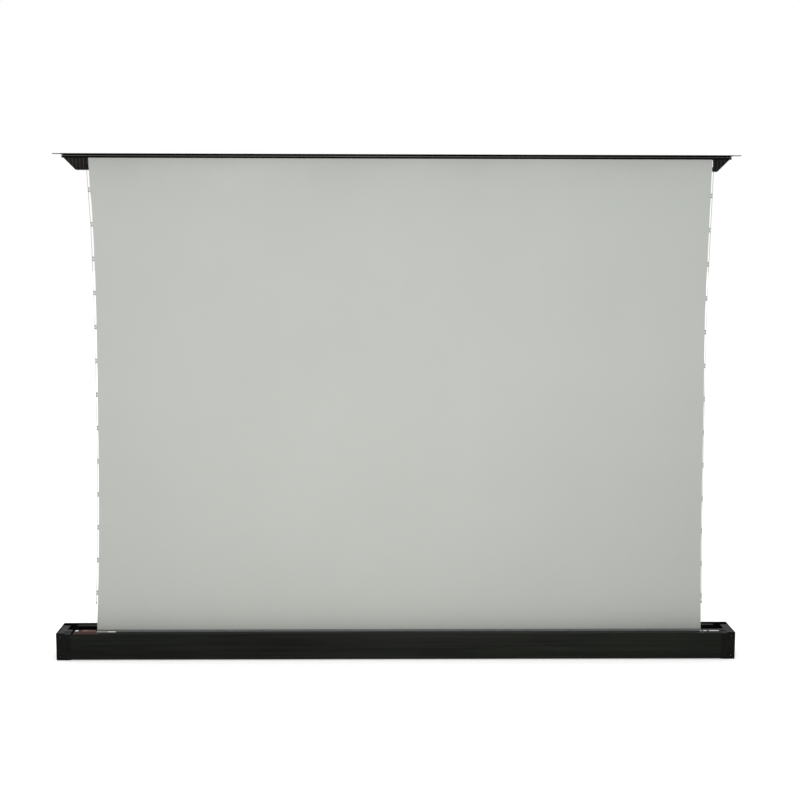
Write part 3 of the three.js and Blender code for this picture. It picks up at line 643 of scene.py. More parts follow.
HALF_LENGTH, HALF_DEPTH = 1360, 79
PANEL_TOP, CAP_TOP_Z, CAP_INNER = 107.5, 110, 1303
ROLLER_Y, ROLLER_Z = -38.5, 46
TUBE_R, ROLL_R = 30, 31.2
TUBE_X0, TUBE_X1 = -1222, 1256
FACE_Y, FABRIC_TOP = -7.0, 1989.7
CLOTH_T = 0.45
EDGE_LEFT = [
    (46, -1211), (139, -1208.2), (189, -1205.6), (240, -1203.1), (292, -1200.9), (340, -1199.1),
    (415, -1196.2), (487, -1194.1), (560, -1192.4), (634, -1191), (709, -1189.9), (780, -1188.6),
    (854, -1187.6), (930, -1186.9), (1000, -1186.3), (1094, -1185.1), (1180, -1184.3), (1270, -1184),
    (1360, -1184.1), (1500, -1184.8), (1571, -1185.7), (1640, -1187), (1700, -1188.5),
    (1759, -1190.3), (1806, -1192.4), (1852, -1195.4), (1899, -1198.4), (1945, -1200.2), (1990, -1201.5),
]
EDGE_RIGHT = [
    (46, 1236.5), (141, 1235.2), (224, 1233), (349, 1229.9), (472, 1227.4), (595, 1226),
    (718, 1225.3), (840, 1224.5), (960, 1223.6), (1080, 1222.2), (1180, 1220.5), (1263, 1219.3),
    (1334, 1218.8), (1406, 1218.9), (1477, 1219.9), (1548, 1221), (1618, 1222.3), (1689, 1223.7),
    (1759, 1225.2), (1806, 1226.4), (1852, 1227.4), (1899, 1228.2), (1945, 1229), (1990, 1230),
]
OUT_LEFT = [
    (214, 6.8), (400, 6.4), (590, 5.5), (740, 4.6), (860, 4.6), (930, 5.4), (1020, 6.8),
    (1120, 7.7), (1300, 7.9), (1440, 9), (1700, 8.6), (1940, 9),
]
OUT_RIGHT = [(214, 3), (700, 3.2), (1100, 3.6), (1190, 4.6), (1300, 5.8), (1500, 6.2), (1940, 7)]
TABS, TAB_PITCH = 13, 133.8
TAB_FIRST = {-1: 1864, 1: 1847}
CABLE_Y, CABLE_R, CABLE_TOP, CABLE_BOTTOM = -4.5, 1.0, 1940, 214
LINK, PIVOT_X, BASE_Z, TOP_Z = 1100, 75, 40, 1965
LOWER_Y, UPPER_Y = (49, 65), (25, 41)
ARM_ANGLE = math.asin((TOP_Z - BASE_Z) / (2 * LINK))
ELBOW_X, ELBOW_Z = PIVOT_X + LINK * math.cos(ARM_ANGLE), BASE_Z + LINK * math.sin(ARM_ANGLE)
MOTOR_END = -740


def through(table, z):
    """A smooth value through a table of (z, x) pairs."""
    n = len(table)
    if z <= table[0][0]:
        return table[0][1]
    if z >= table[-1][0]:
        return table[-1][1]
    i = 0
    while table[i + 1][0] < z:
        i += 1

    def slope(k):
        a, b = table[max(k - 1, 0)], table[min(k + 1, n - 1)]
        return (b[1] - a[1]) / (b[0] - a[0])

    (z0, x0), (z1, x1) = table[i], table[i + 1]
    h = z1 - z0
    t = (z - z0) / h
    return (x0 * (2 * t ** 3 - 3 * t ** 2 + 1) + h * slope(i) * (t ** 3 - 2 * t ** 2 + t)
            + x1 * (3 * t ** 2 - 2 * t ** 3) + h * slope(i + 1) * (t ** 3 - t ** 2))


def edge_at(side, z):
    return through(EDGE_LEFT if side < 0 else EDGE_RIGHT, z)


def cable_x(side, z):
    return edge_at(side, z) + side * through(OUT_LEFT if side < 0 else OUT_RIGHT, z)


def step(value, low, high):
    t = np.clip((np.asarray(value, float) - low) / (high - low), 0, 1)
    return t * t * (3 - 2 * t)


# ------------------------------------------------------------------ fabric


def pull(side, z):
    """How near a height is to one of the side's tabs: 1 at a tab, 0 half way between two."""
    phase = (np.asarray(z, float) - TAB_FIRST[side]) / TAB_PITCH
    live = step(z, TAB_FIRST[side] - (TABS - 0.3) * TAB_PITCH, TAB_FIRST[side] - (TABS - 1) * TAB_PITCH)
    return (0.5 + 0.5 * np.cos(2 * np.pi * phase)) ** 2 * live


def cut_edge(side, z):
    """The fabric's cut edge: it runs in a little between the tabs."""
    scallop = np.asarray(pull(side, z)) - 0.35
    return edge_at(side, float(z)) + side * 0.9 * float(scallop) * float(step(z, 120, 220) * step(-z, -1975, -1900))


def cloth_y(x, z, left, right):
    """Y of the viewing face: almost flat, with a slow wave, a pull at each tab, and fine upright
    ripples in the top corners."""
    into_left, into_right = np.maximum(x - left, 0), np.maximum(right - x, 0)
    quiet = step(z, 108, 330) * step(-z, -1984, -1850)
    slow = (0.42 * np.sin(x / 262 + 0.8) * np.sin(z / 305 + 0.4)
            + 0.26 * np.sin((x + 0.4 * z) / 143) + 0.16 * np.sin((x - 0.9 * z) / 96 + 2.0))
    tug = (0.55 * np.exp(-into_left / 36) * (2 * pull(-1, z) - 0.8)
           + 0.55 * np.exp(-into_right / 36) * (2 * pull(1, z) - 0.8))
    corner = (0.30 * np.sin(2 * np.pi * into_left / 11.0 + 0.6) * np.exp(-(into_left / 34) ** 2)
              * step(z, 1740, 1880)
              + 0.26 * np.sin(2 * np.pi * into_right / 12.5) * np.exp(-(into_right / 38) ** 2)
              * step(z, 1700, 1880)) * step(-z, -1986, -1950)
    foot = 0.22 * np.sin(2 * np.pi * into_left / 13.0) * np.exp(-(into_left / 40) ** 2) * step(-z, -330, -180) * step(z, 112, 150)
    return FACE_Y + quiet * (slow + tug) + corner + foot


def fabric_rows():
    rows = [46, 60, 76, 92, 100, 106, 112, 120, 130, 142, 156]
    z = 167.0
    while z < 1972:
        rows.append(z)
        z += 11.15
    return rows + [1978, 1984, FABRIC_TOP]


def make_fabric():
    near = [0, 1.2, 2.6, 4.2, 6, 8, 10.2, 12.6, 15.2, 18, 21, 24.5, 28.5, 33, 38, 44, 52, 62, 76, 95, 120]
    rows, front, back = fabric_rows(), [], []
    middle = 58
    for z in rows:
        left, right = cut_edge(-1, z), cut_edge(1, z)
        a, b = left + near[-1], right - near[-1]
        xs = np.array([left + d for d in near] + [a + (b - a) * (i + 1) / (middle + 1) for i in range(middle)]
                      + [right - d for d in reversed(near)])
        ys = cloth_y(xs, z, left, right)
        front += [(x, y, z) for x, y in zip(xs, ys)]
        back += [(x, y + CLOTH_T, z) for x, y in zip(xs, ys)]
    n, m = len(near) * 2 + middle, len(rows)
    bag = Bag()
    bag.verts = front + back
    k = n * m
    for r in range(m - 1):
        for c in range(n - 1):
            i = r * n + c
            bag.faces.append((i, i + 1, i + n + 1, i + n))
            bag.marks.append(0)
            bag.faces.append((k + i, k + i + n, k + i + n + 1, k + i + 1))
            bag.marks.append(1)
    rim = [r * n for r in range(m)] + [(m - 1) * n + c for c in range(1, n)] + [r * n + n - 1 for r in range(m - 2, -1, -1)] + list(range(n - 2, 0, -1))
    for a, b in zip(rim, rim[1:] + rim[:1]):
        bag.faces.append((a, b, k + b, k + a))
        bag.marks.append(0)
    return piece("screen_fabric.look", bag, [CLOTH, CLOTH_BACK], "housing", smooth=60, replaces=("screen_fabric",))


fabric = make_fabric()


def ribbon(path, half, across, thick):
    """A folded strip: path is (x, y) points, half its half height at each point, at height z."""
    points = [Vector((x, y)) for x, y in path]
    verts, faces = [], []
    n = len(points)
    for k, p in enumerate(points):
        t = (points[min(k + 1, n - 1)] - points[max(k - 1, 0)]).normalized()
        q = Vector((-t.y, t.x)) * (thick / 2)
        for layer in (-1, 1):
            for c in range(across + 1):
                z = half[k] * (2 * c / across - 1)
                verts.append((p.x + layer * q.x, p.y + layer * q.y, z))
    w = across + 1
    for k in range(n - 1):
        a, b = k * 2 * w, (k + 1) * 2 * w
        for c in range(across):
            faces.append((a + c, a + c + 1, b + c + 1, b + c))
            faces.append((a + w + c, b + w + c, b + w + c + 1, a + w + c + 1))
        for c in (0, across):
            faces.append((a + c, a + w + c, b + w + c, b + c))
    for base in (0, (n - 1) * 2 * w):
        for c in range(across):
            faces.append((base + c, base + c + 1, base + w + c + 1, base + w + c))
    return verts, faces


def tab_heights(side):
    return [TAB_FIRST[side] - k * TAB_PITCH for k in range(TABS)]


def make_strip(side, word):
    """The edge strip on the back of the fabric, with a folded tab for the cable at each height."""
    bag = Bag()
    rows = [z for z in fabric_rows() if 60 <= z <= 1985]
    across = [-12, -9, -6, -3.5, -1.5, -0.35]
    front, back = [], []
    for z in rows:
        cut = cut_edge(side, z)
        left, right = cut_edge(-1, z), cut_edge(1, z)
        for d in across:
            x = cut + side * d
            y = float(cloth_y(np.array([x]), z, left, right)[0]) + CLOTH_T + 0.06
            front.append((x, y, z))
            back.append((x, y + 0.42, z))
    n, m = len(across), len(rows)
    verts, faces = front + back, []
    k = n * m
    for r in range(m - 1):
        for c in range(n - 1):
            i = r * n + c
            faces.append((i, i + 1, i + n + 1, i + n))
            faces.append((k + i, k + i + n, k + i + n + 1, k + i + 1))
    rim = [r * n for r in range(m)] + [(m - 1) * n + c for c in range(1, n)] + [r * n + n - 1 for r in range(m - 2, -1, -1)] + list(range(n - 2, 0, -1))
    for a, b in zip(rim, rim[1:] + rim[:1]):
        faces.append((a, b, k + b, k + a))
    bag.add((verts, faces))
    for z in tab_heights(side):
        cut, cable = cut_edge(side, z), cable_x(side, z)
        out = abs(cable - cut)
        left, right = cut_edge(-1, z), cut_edge(1, z)
        seat = float(cloth_y(np.array([cut - side * 5]), z, left, right)[0]) + CLOTH_T + 0.06 + 0.42
        near, far, loop = seat + 0.24, seat + 0.72, 1.45
        path = [(-10.5, near), (-6, near), (-2, near)]
        path += [(out - loop - 0.6, (near + CABLE_Y - loop) / 2), (out - 0.7, CABLE_Y - loop)] if out > 4 else []
        path += [(out + loop * math.sin(a), CABLE_Y - loop * math.cos(a)) for a in np.linspace(0, math.pi, 11)]
        if out > 4:
            path += [(out - 1.0, CABLE_Y + loop * 0.9), (out - loop - 0.9, (far + CABLE_Y + loop) / 2)]
        path += [(-1.5, far), (-5.5, far), (-9.8, far)]
        fine = smooth_path([(u, y, 0) for u, y in path], 3)
        half = [13 - (13 - 5.2) * float(step(p.x, -3, max(out - 1, 1.5))) for p in fine]
        strip = ribbon([(cut + side * p.x, p.y) for p in fine], half, 4, 0.42)
        bag.add(([(x, y, h + z) for x, y, h in strip[0]], strip[1]), 1)
    return piece(f"tab_strip_{word}.look", bag, [TAB_CLOTH, TAB_CLOTH], "housing", smooth=50,
                 replaces=(f"tab_strip_{word}",))


def make_cable(side, word):
    heights = [CABLE_BOTTOM - 1] + sorted(tab_heights(side)) + [CABLE_TOP + 0.2]
    path = []
    for a, b in zip(heights, heights[1:]):
        xa, xb = cable_x(side, max(a, CABLE_BOTTOM)), cable_x(side, b)
        for k in range(12):
            t = k / 12
            path.append((xa + (xb - xa) * t, CABLE_Y, a + (b - a) * t))
    path.append((cable_x(side, CABLE_TOP), CABLE_Y, heights[-1]))
    return piece(f"tension_cable_{word}.look", tube(path, CABLE_R, 12), CORD, "housing", smooth=60,
                 replaces=(f"tension_cable_{word}",))


def make_rivets(side, word):
    """The two rivets that close each tab round the cable, and a stop at the cable's lower end."""
    bag = Bag()
    head = soften([(0, -7.1), (2.15, -7.1), (2.15, -6.3), (0.8, -6.3), (0.8, -2.9), (1.7, -2.9), (1.7, -2.3), (0, -2.3)], 0.3)
    for z in tab_heights(side):
        for s in (-1, 1):
            at = z + s * 6.7
            gap = abs(cable_x(side, at) - cut_edge(side, at))
            x = cable_x(side, at) - side * min(2.6, gap - 2.5)
            bag.add(lathe(head, "y", (x, 0, at), 20))
    low = CABLE_BOTTOM + 2
    bag.add(lathe(soften([(0, -3), (2.3, -3), (2.3, 2.6), (CABLE_R + 0.05, 3.4), (0, 3.4)], 0.5), "z",
                  (cable_x(side, low), CABLE_Y, low), 24))
    return piece(f"tab_rivets_{word}", bag, RIVET, "housing", slot="black_plastic", smooth=40)


strips = [make_strip(*s) for s in SIDES]
cables = [make_cable(*s) for s in SIDES]
rivets = [make_rivets(*s) for s in SIDES]


def make_roll():
    """The wraps that stay on the tube, wound as one spiral that starts where the fabric comes in."""
    turns, per_turn, pitch, start = 1.42, 96, 0.46, 30.93
    count = int(turns * per_turn)
    verts, faces = [], []
    ends = [EDGE_LEFT[0][1], -400, 400, EDGE_RIGHT[0][1]]
    for i in range(count + 1):
        a = -2 * math.pi * i / per_turn
        r = start - pitch * i / per_turn
        for layer in (-1, 1):
            q = r + layer * 0.2
            verts += [(x, ROLLER_Y + q * math.cos(a), ROLLER_Z + q * math.sin(a)) for x in ends]
    w = len(ends)
    for i in range(count):
        a, b = i * 2 * w, (i + 1) * 2 * w
        for c in range(w - 1):
            faces.append((a + c, a + c + 1, b + c + 1, b + c))
            faces.append((a + w + c, b + w + c, b + w + c + 1, a + w + c + 1))
        for c in (0, w - 1):
            faces.append((a + c, a + w + c, b + w + c, b + c))
    for base in (0, count * 2 * w):
        for c in range(w - 1):
            faces.append((base + c, base + c + 1, base + w + c + 1, base + w + c))
    return piece("fabric_roll.look", (verts, faces), CLOTH_BACK, "roller", smooth=50, replaces=("fabric_roll",))


roll_piece = make_roll()


def make_hem():
    """The sewn pocket at the fabric's top, round the batten."""
    cy, cz, r = FACE_Y + 0.4, 1992.15, 2.3
    loop = [(cy + r * math.sin(a), cz - r * math.cos(a)) for a in np.linspace(0.5, 2 * math.pi - 0.5, 40)]
    outer = [(cy + (r + 0.42) * math.sin(a), cz - (r + 0.42) * math.cos(a)) for a in np.linspace(0.42, 2 * math.pi - 0.42, 40)]
    xs = [-1201.0, -600, 0, 600, 1229.4]
    verts, faces = [], []
    for x in xs:
        verts += [(x, y, z) for y, z in loop] + [(x, y, z) for y, z in outer]
    n = len(loop)
    for k in range(len(xs) - 1):
        a, b = k * 2 * n, (k + 1) * 2 * n
        for i in range(n - 1):
            faces.append((a + i, a + i + 1, b + i + 1, b + i))
            faces.append((a + n + i, b + n + i, b + n + i + 1, a + n + i + 1))
        for i in (0, n - 1):
            faces.append((a + i, a + n + i, b + n + i, b + i))
    for base in (0, (len(xs) - 1) * 2 * n):
        for i in range(n - 1):
            faces.append((base + i, base + i + 1, base + n + i + 1, base + n + i))
    return piece("fabric_hem", (verts, faces), CLOTH, "top_rail_and_lid", slot="grey_screen_fabric", smooth=60)


hem = make_hem()

# ------------------------------------------------------------------ housing

refine("base_plate", BLACK_STEEL, 0.35)


def to_the_caps(bm):
    """The panels' ends run up against the end caps."""
    for v in bm.verts:
        if abs(v.co.x) > 1.302:
            v.co.x = math.copysign(1.30295, v.co.x)


refine("front_panel", BLACK_PANEL, 0.5, 3, edit=to_the_caps)
refine("rear_panel", BLACK_PANEL, 0.4, 3, edit=to_the_caps)


def inlay(bm):
    """A shallow satin panel sunk into the top of an end cap, inside a dull rim, and a satin step; the panel and every
    other upward face get the lighter grey, painted light on the cap's top.
    """
    def flat():
        return [f for f in bm.faces if f.normal.z > 0.99 and abs(f.calc_center_median().z - CAP_TOP_Z * MM) < 1e-4]

    side = math.copysign(1, bm.verts[:][0].co.x)
    for at, across in ((1355, (1, 0, 0)), (1353.8, (1, 0, 0)), (-74, (0, 1, 0)), (-72.8, (0, 1, 0)), (42, (0, 1, 0)), (40.8, (0, 1, 0))):
        part = flat()
        part += list({e for f in part for e in f.edges}) + list({v for f in part for v in f.verts})
        where = (side * at * MM, 0, 0) if across[0] else (0, at * MM, 0)
        bmesh.ops.bisect_plane(bm, geom=part, dist=1e-6, plane_co=where, plane_no=across)
    # painted light: upward faces of the cap take the lighter grey
    for f in bm.faces:
        if f.normal.z > 0.99 and 0.1 < f.calc_center_median().z < (CAP_TOP_Z - 0.1) * MM:
            f.material_index = 1
    top = flat()
    for f in top:
        c = f.calc_center_median()
        f.material_index = 1 if abs(c.x) < 1.3545 and -0.0735 < c.y < 0.0415 else 2
    for v in {v for f in top for v in f.verts}:
        if abs(v.co.x) < 1.3539 and -0.0729 < v.co.y < 0.0409:
            v.co.z -= 0.4 * MM
    bm.normal_update()
    for f in top:
        if f.normal.z < 0.99999:
            for e in f.edges:
                e.smooth = False


for _, word in SIDES:
    refine(f"end_cap_{word}", [BLACK_PLASTIC, CAP_TOP, DULL_BLACK_AND_PAINTED_SHADE], 0.9, 3, 30, inlay)

for i, (sx, sy) in enumerate([(-1, -1), (1, -1), (-1, 1), (1, 1)], 1):
    stand_in(f"rubber_foot_{i}", lathe(
        soften([(0, 0.35), (4, 0.35), (4.6, 0), (12, 0), (13.6, 0.7), (14, 1.6), (13.2, 2.95), (0, 2.95)], 0.35),
        "z", (sx * 1332, sy * 60, 0), 72), RUBBER)

# a black strap screw low and high on each cap's front, and two on its end
bag = Bag()
for s, _ in SIDES:
    for z in (16, 95):
        for y in (-79, 79):
            out = math.copysign(1, y)
            bag.add(lathe(soften([(3.2, 78.6), (6.6, 78.6), (6.6, 79.15), (3.2, 79.15), (3.2, 78.6)], 0.15), "y", (s * 1343, 0, z), 32)
                    if y > 0 else
                    lathe(soften([(3.2, -79.15), (6.6, -79.15), (6.6, -78.6), (3.2, -78.6), (3.2, -79.15)], 0.15), "y", (s * 1343, 0, z), 32), 1)
            bag.add(screw((s * 1343, y, z), (0, out, 0), 3.0, 0.3, 1.0, 0.25))
    for y in (-52, 52):
        bag.add(screw((s * 1360, y, 56), (s, 0, 0), 2.8, 0.8, 1.2, 0.6))
piece("cap_screws", bag, [BRACKET_RIM, DULL_BLACK_AND_PAINTED_SHADE], "housing", slot="zinc_steel")

bag = Bag()
for k in range(10):
    x = -1215 + 270 * k
    for z in (12, 97):
        bag.add(screw((x, 79, z), (0, 1, 0), 2.9, 1.0, 1.25, 0.8))
piece("rear_panel_screws", bag, SCREW, "housing", slot="zinc_steel")

refine("motor_bracket", ZINC, 0.35)
refine("idler_bracket", ZINC, 0.35)
bag = Bag()
for s in (-1, 1):
    for y in (-62, -22):
        bag.add(screw((s * 1287, y, 9), (0, 0, 1), 3.2, 1.8, 1.5, 1.2))
    for y, z in ((-64, 20), (-64, 74), (-20, 20)):
        bag.add(screw((s * 1299.7, y, z), (-s, 0, 0), 2.8, 1.6, 1.3, 1.0))
piece("roller_bracket_screws", bag, ZINC, "housing", slot="zinc_steel")

axis = (0, ROLLER_Y, ROLLER_Z)
stand_in("tubular_motor", lathe(soften([
    (0, -1224.6), (21, -1224.6), (22.5, -1220), (22.5, -1100), (22.1, -1099), (22.1, -1096), (22.5, -1095),
    (22.5, -900), (21.9, -899), (21.9, -890), (22.5, -889), (22.5, -752), (18.5, MOTOR_END), (0, MOTOR_END)], 0.5),
    "x", axis, 96), BARE)
head = Bag(lathe(soften([
    (0, -1299.2), (18, -1299.2), (18, -1294), (24, -1292), (24, -1268), (23.3, -1267), (23.3, -1264), (24, -1263),
    (24, -1234), (21, -1229), (21, -1225), (0, -1225)], 0.7), "x", axis, 96))
head.add(block(-1280, -1262, ROLLER_Y - 5, ROLLER_Y + 5, ROLLER_Z - 28, ROLLER_Z - 18, 1.0, 3))
for y in (-7, 7):
    head.add(screw((-1250, ROLLER_Y + y, ROLLER_Z + 22.6), (0, 0, 1), 2.6, 1.4, 1.5, 1.1), 1)
stand_in("motor_head", head, [BLACK_PLASTIC, NYLON])
stand_in("idler_pin", lathe(soften([
    (0, 1218), (5, 1218), (6, 1219), (6, 1262), (5.4, 1262), (5.4, 1263.4), (6, 1263.4), (6, 1300), (5.2, 1301), (0, 1301)], 0.3),
    "x", axis, 64), ZINC)

# receiver: body, clear window whose light red-brown is a painted highlight, lower shelf whose deeper red is painted
# shade, connector with its leads
box_bag = Bag(block(-1296, -1207, -76.6, -15.6, 88, 106.9, 1.2, 3))
box_bag.add(block(-1296, -1230, -19, -2, 88, 96, 1.2, 3), 2)
box_bag.add(block(-1268, -1210, -36, -16.6, 106.5, 107.3, 0.35, 3), 1)
for x in (-1290, -1213):
    for y in (-72, -48):
        box_bag.add(lathe(soften([(0, 106), (2.4, 106), (2.4, 107.3), (1.4, 107.3), (1.2, 106.7), (0, 106.7)], 0.2), "z", (x, y, 0), 28), 3)
stand_in("receiver_box", box_bag, [RED_BODY, RED_WINDOW_PAINTED_HIGHLIGHT, RED_SHELF_PAINTED_SHADE, SCREW])
plug = Bag(block(-1292.5, -1281, -33, -21.5, 106.3, 107.45, 0.4, 2))
plug.add(block(-1294.2, -1291.8, -30.5, -23.5, 106.4, 107.3, 0.3, 2))
plug.add(block(-1289.6, -1288.2, -32, -23, 107.3, 107.65, 0.15, 1))
plug.add(block(-1285.3, -1283.9, -32, -23, 107.3, 107.65, 0.15, 1))
piece("receiver_connector", plug, WHITE_SHELL, "housing", slot="white_plastic")

refine("power_inlet", BLACK_PLASTIC, 0.45, 3)
pins = Bag()
for x in (-1336, -1328):
    pins.add(lathe(soften([(0, 64.8), (1.45, 64.8), (1.45, 74.2), (0.7, 75.1), (0, 75.1)], 0.25), "y", (x, 0, 40), 24))
piece("inlet_pins", pins, COPPER_PIN, "housing", slot="zinc_steel")

# wiring, clipped along the trough: inlet to receiver, receiver to motor
leads = [
    ("lead_live", WIRE_BROWN, [(-1334, 60.5, 42), (-1334, 52, 42), (-1333, 46, 30), (-1331, 34, 14), (-1322, 14, 10.2),
                               (-1312, -2, 14), (-1308.5, -6, 40), (-1307, -8, 70), (-1304, -8.6, 84), (-1299.5, -8.6, 91), (-1295.6, -8.6, 91.6)]),
    ("lead_neutral", WIRE_BLUE, [(-1330, 60.5, 38), (-1330, 51, 38), (-1329, 44, 27), (-1327, 33, 13), (-1318, 15, 10.2),
                                 (-1309, 2, 14), (-1306, -2.6, 40), (-1305.2, -4.2, 70), (-1303, -4.6, 84), (-1299.5, -4.6, 91), (-1295.6, -4.6, 91.6)]),
    ("motor_lead", WIRE_BLACK, [(-1272, ROLLER_Y, 18.4), (-1272, ROLLER_Y, 14), (-1270, -33, 10.6), (-1262, -20, 9.4),
                                (-1250, -9.5, 9.6), (-1241, -4.5, 16), (-1238, -3.4, 40), (-1238, -4.4, 70), (-1240, -7.5, 84), (-1243, -9.4, 88.4)]),
    ("signal_lead", WIRE_BLACK, [(-1291.5, -27, 106.6), (-1294.6, -27, 106.55), (-1297.2, -27, 105.2), (-1297.9, -27, 101.5), (-1297.6, -27, 97), (-1295.4, -27, 94.6)]),
]
for name, finish, points in leads:
    thick = 2.6 if name == "motor_lead" else 0.8 if name == "signal_lead" else 1.5
    piece(name, tube(smooth_path(points, 8), thick, 14), finish, "housing", slot="black_plastic", smooth=60)
clips = Bag()
for x, y in ((-1264, -23.5), (-1322, 13.6)):
    clips.add(block(x - 3.2, x + 3.2, y - 6, y + 6, 5.9, 8.0, 0.5))
    clips.add(block(x - 2.4, x + 2.4, y - 5.5, y + 5.5, 12.3, 13.6, 0.5))
    for s in (-1, 1):
        clips.add(block(x - 2.4, x + 2.4, y + s * 5 - 0.8, y + s * 5 + 0.8, 7, 13, 0.4))
piece("lead_clips", clips, NYLON, "housing", slot="white_plastic")

# on the flange, thin enough for the lid to close over: a felt wiper before the fabric, a blank pale
# strip by the receiver, and over the idler a bright edging with a grey pad behind it
wiper = Bag(block(-1127.5, 1229, -43, -17.9, 107.45, 107.72, 0.1, 1))
wiper.add(block(-1206, -1127.5, -35, -17.9, 107.45, 107.72, 0.1, 1))
piece("flange_wiper", wiper, FELT, "housing", slot="black_rubber")
pads = Bag()
pads.add(block(-1204, -1160, -47.5, -41.0, 107.45, 107.74, 0.1, 1), 1)
pads.add(block(-1159, -1128, -49.5, -38.0, 107.45, 107.74, 0.1, 1), 0)
piece("flange_strip", pads, [WHITE_SHELL, NYLON], "housing", slot="white_plastic")
edging = Bag()
for x0, x1 in ((1223.5, 1231), (1237.5, 1252.5), (1260.5, 1302)):
    edging.add(block(x0, x1, -48, -38.5, 107.45, 107.75, 0.1, 1))
piece("flange_edging", edging, BARE, "housing", slot="bare_aluminium")
pad = Bag(block(1235, 1301.5, -37, -16.5, 107.45, 107.73, 0.1, 1))
pad.add(block(1233, 1301.5, -75.5, -49.5, 107.45, 107.7, 0.1, 1), 1)
piece("idler_pad", pad, [CAP_TOP, BLACK_PLASTIC], "housing", slot="black_plastic")

# ------------------------------------------------------------------ roller

stand_in("roller_tube", lathe(soften(ring_of(28.2, TUBE_R, TUBE_X0, TUBE_X1), 0.25), "x", axis, 128), BARE)
stand_in("crown_ring", lathe(soften(ring_of(23, 27.9, TUBE_X0 + 1, TUBE_X0 + 15), 0.4), "x", axis, 96), NYLON)
stand_in("drive_wheel", lathe(soften([
    (0, -739), (8, -739), (8, -735), (27.9, -735), (27.9, -731), (26.6, -730), (26.6, -720), (27.9, -719), (27.9, -715), (0, -715)], 0.5),
    "x", axis, 96), NYLON)
stand_in("idler_plug", lathe(soften([
    (6.4, 1214), (12, 1214), (27.9, 1218), (27.9, TUBE_X1), (TUBE_R, TUBE_X1 + 0.3), (TUBE_R, TUBE_X1 + 3), (22, TUBE_X1 + 3),
    (21, TUBE_X1 + 2.2), (16, TUBE_X1 + 2.2), (15, TUBE_X1 + 3), (6.4, TUBE_X1 + 3), (6.4, 1214)], 0.4), "x", axis, 96), NYLON)
stand_in("idler_bearing", lathe(soften([
    (6.4, TUBE_X1 + 3.3), (8.2, TUBE_X1 + 3.3), (8.2, TUBE_X1 + 3.9), (10.2, TUBE_X1 + 3.9), (10.2, TUBE_X1 + 3.3), (12, TUBE_X1 + 3.3),
    (12, TUBE_X1 + 11), (10.2, TUBE_X1 + 11), (10.2, TUBE_X1 + 10.4), (8.2, TUBE_X1 + 10.4), (8.2, TUBE_X1 + 11), (6.4, TUBE_X1 + 11),
    (6.4, TUBE_X1 + 3.3)], 0.25), "x", axis, 80), ZINC)

# ------------------------------------------------------------------ folding arms


def extrusion(y0, y1, t0, t1):
    """An arm tube along local x: rounded corners, hollow, with two shallow grooves in each face."""
    my, hz, r = (y0 + y1) / 2, 15.0, 3.0
    hy = (y1 - y0) / 2
    outer = []
    for cy, cz, a in ((hy - r, hz - r, 0), (-hy + r, hz - r, 90), (-hy + r, -hz + r, 180), (hy - r, -hz + r, 270)):
        outer += arc(cy, cz, r, a, a + 90, 6)

    def with_grooves(points):
        out = []
        for i, p in enumerate(points):
            q = points[(i + 1) % len(points)]
            out.append(p)
            if abs(p[0] - q[0]) < 1e-6 and abs(p[1] - q[1]) > 10:
                s, d = math.copysign(1, p[0]), math.copysign(1, q[1] - p[1])
                for centre in (-6, 6):
                    c = centre * d
                    out += [(p[0], c - d * 0.8), (p[0] - s * 0.35, c - d * 0.5), (p[0] - s * 0.35, c + d * 0.5), (p[0], c + d * 0.8)]
        return out

    outer = with_grooves(outer)
    w = 1.6
    inner = []
    for cy, cz, a in ((hy - r, hz - r, 0), (-hy + r, hz - r, 90), (-hy + r, -hz + r, 180), (hy - r, -hz + r, 270)):
        inner += arc(cy, cz, r - w, a, a + 90, 4)
    verts, faces = [], []
    runs = [t0 + 0.3, t1 - 0.3]
    n, m = len(outer), len(inner)

    def shrunk(points, d):
        return [(y - math.copysign(min(d, abs(y)), y), z - math.copysign(min(d, abs(z)), z)) for y, z in points]

    rings = [(t0, shrunk(outer, 0.25)), (runs[0], outer), (runs[1], outer), (t1, shrunk(outer, 0.25))]
    for t, ring in rings:
        verts += [(t, my + y, z) for y, z in ring]
    for t in (t0, t1):
        verts += [(t, my + y, z) for y, z in inner]
    for k in range(3):
        for i in range(n):
            j = (i + 1) % n
            faces.append((k * n + i, k * n + j, (k + 1) * n + j, (k + 1) * n + i))
    base = 4 * n
    for i in range(m):
        j = (i + 1) % m
        faces.append((base + i, base + m + i, base + m + j, base + j))
    for t_index, outer_base, inner_base in ((0, 0, base), (1, 3 * n, base + m)):
        # an end ring between the outer and inner outlines, matched by angle
        o = [(math.atan2(verts[outer_base + i][2], verts[outer_base + i][1] - my), outer_base + i) for i in range(n)]
        q = [(math.atan2(verts[inner_base + i][2], verts[inner_base + i][1] - my), inner_base + i) for i in range(m)]
        o.sort(), q.sort()
        i = j = 0
        while i < n or j < m:
            a, b = o[i % n], q[j % m]
            a2, b2 = o[(i + 1) % n], q[(j + 1) % m]
            ta = a2[0] + (2 * math.pi if i + 1 >= n else 0)
            tb = b2[0] + (2 * math.pi if j + 1 >= m else 0)
            if i < n and (j >= m or ta <= tb):
                faces.append((a[1], a2[1], b[1]))
                i += 1
            else:
                faces.append((a[1], b2[1], b[1]))
                j += 1
    return verts, faces


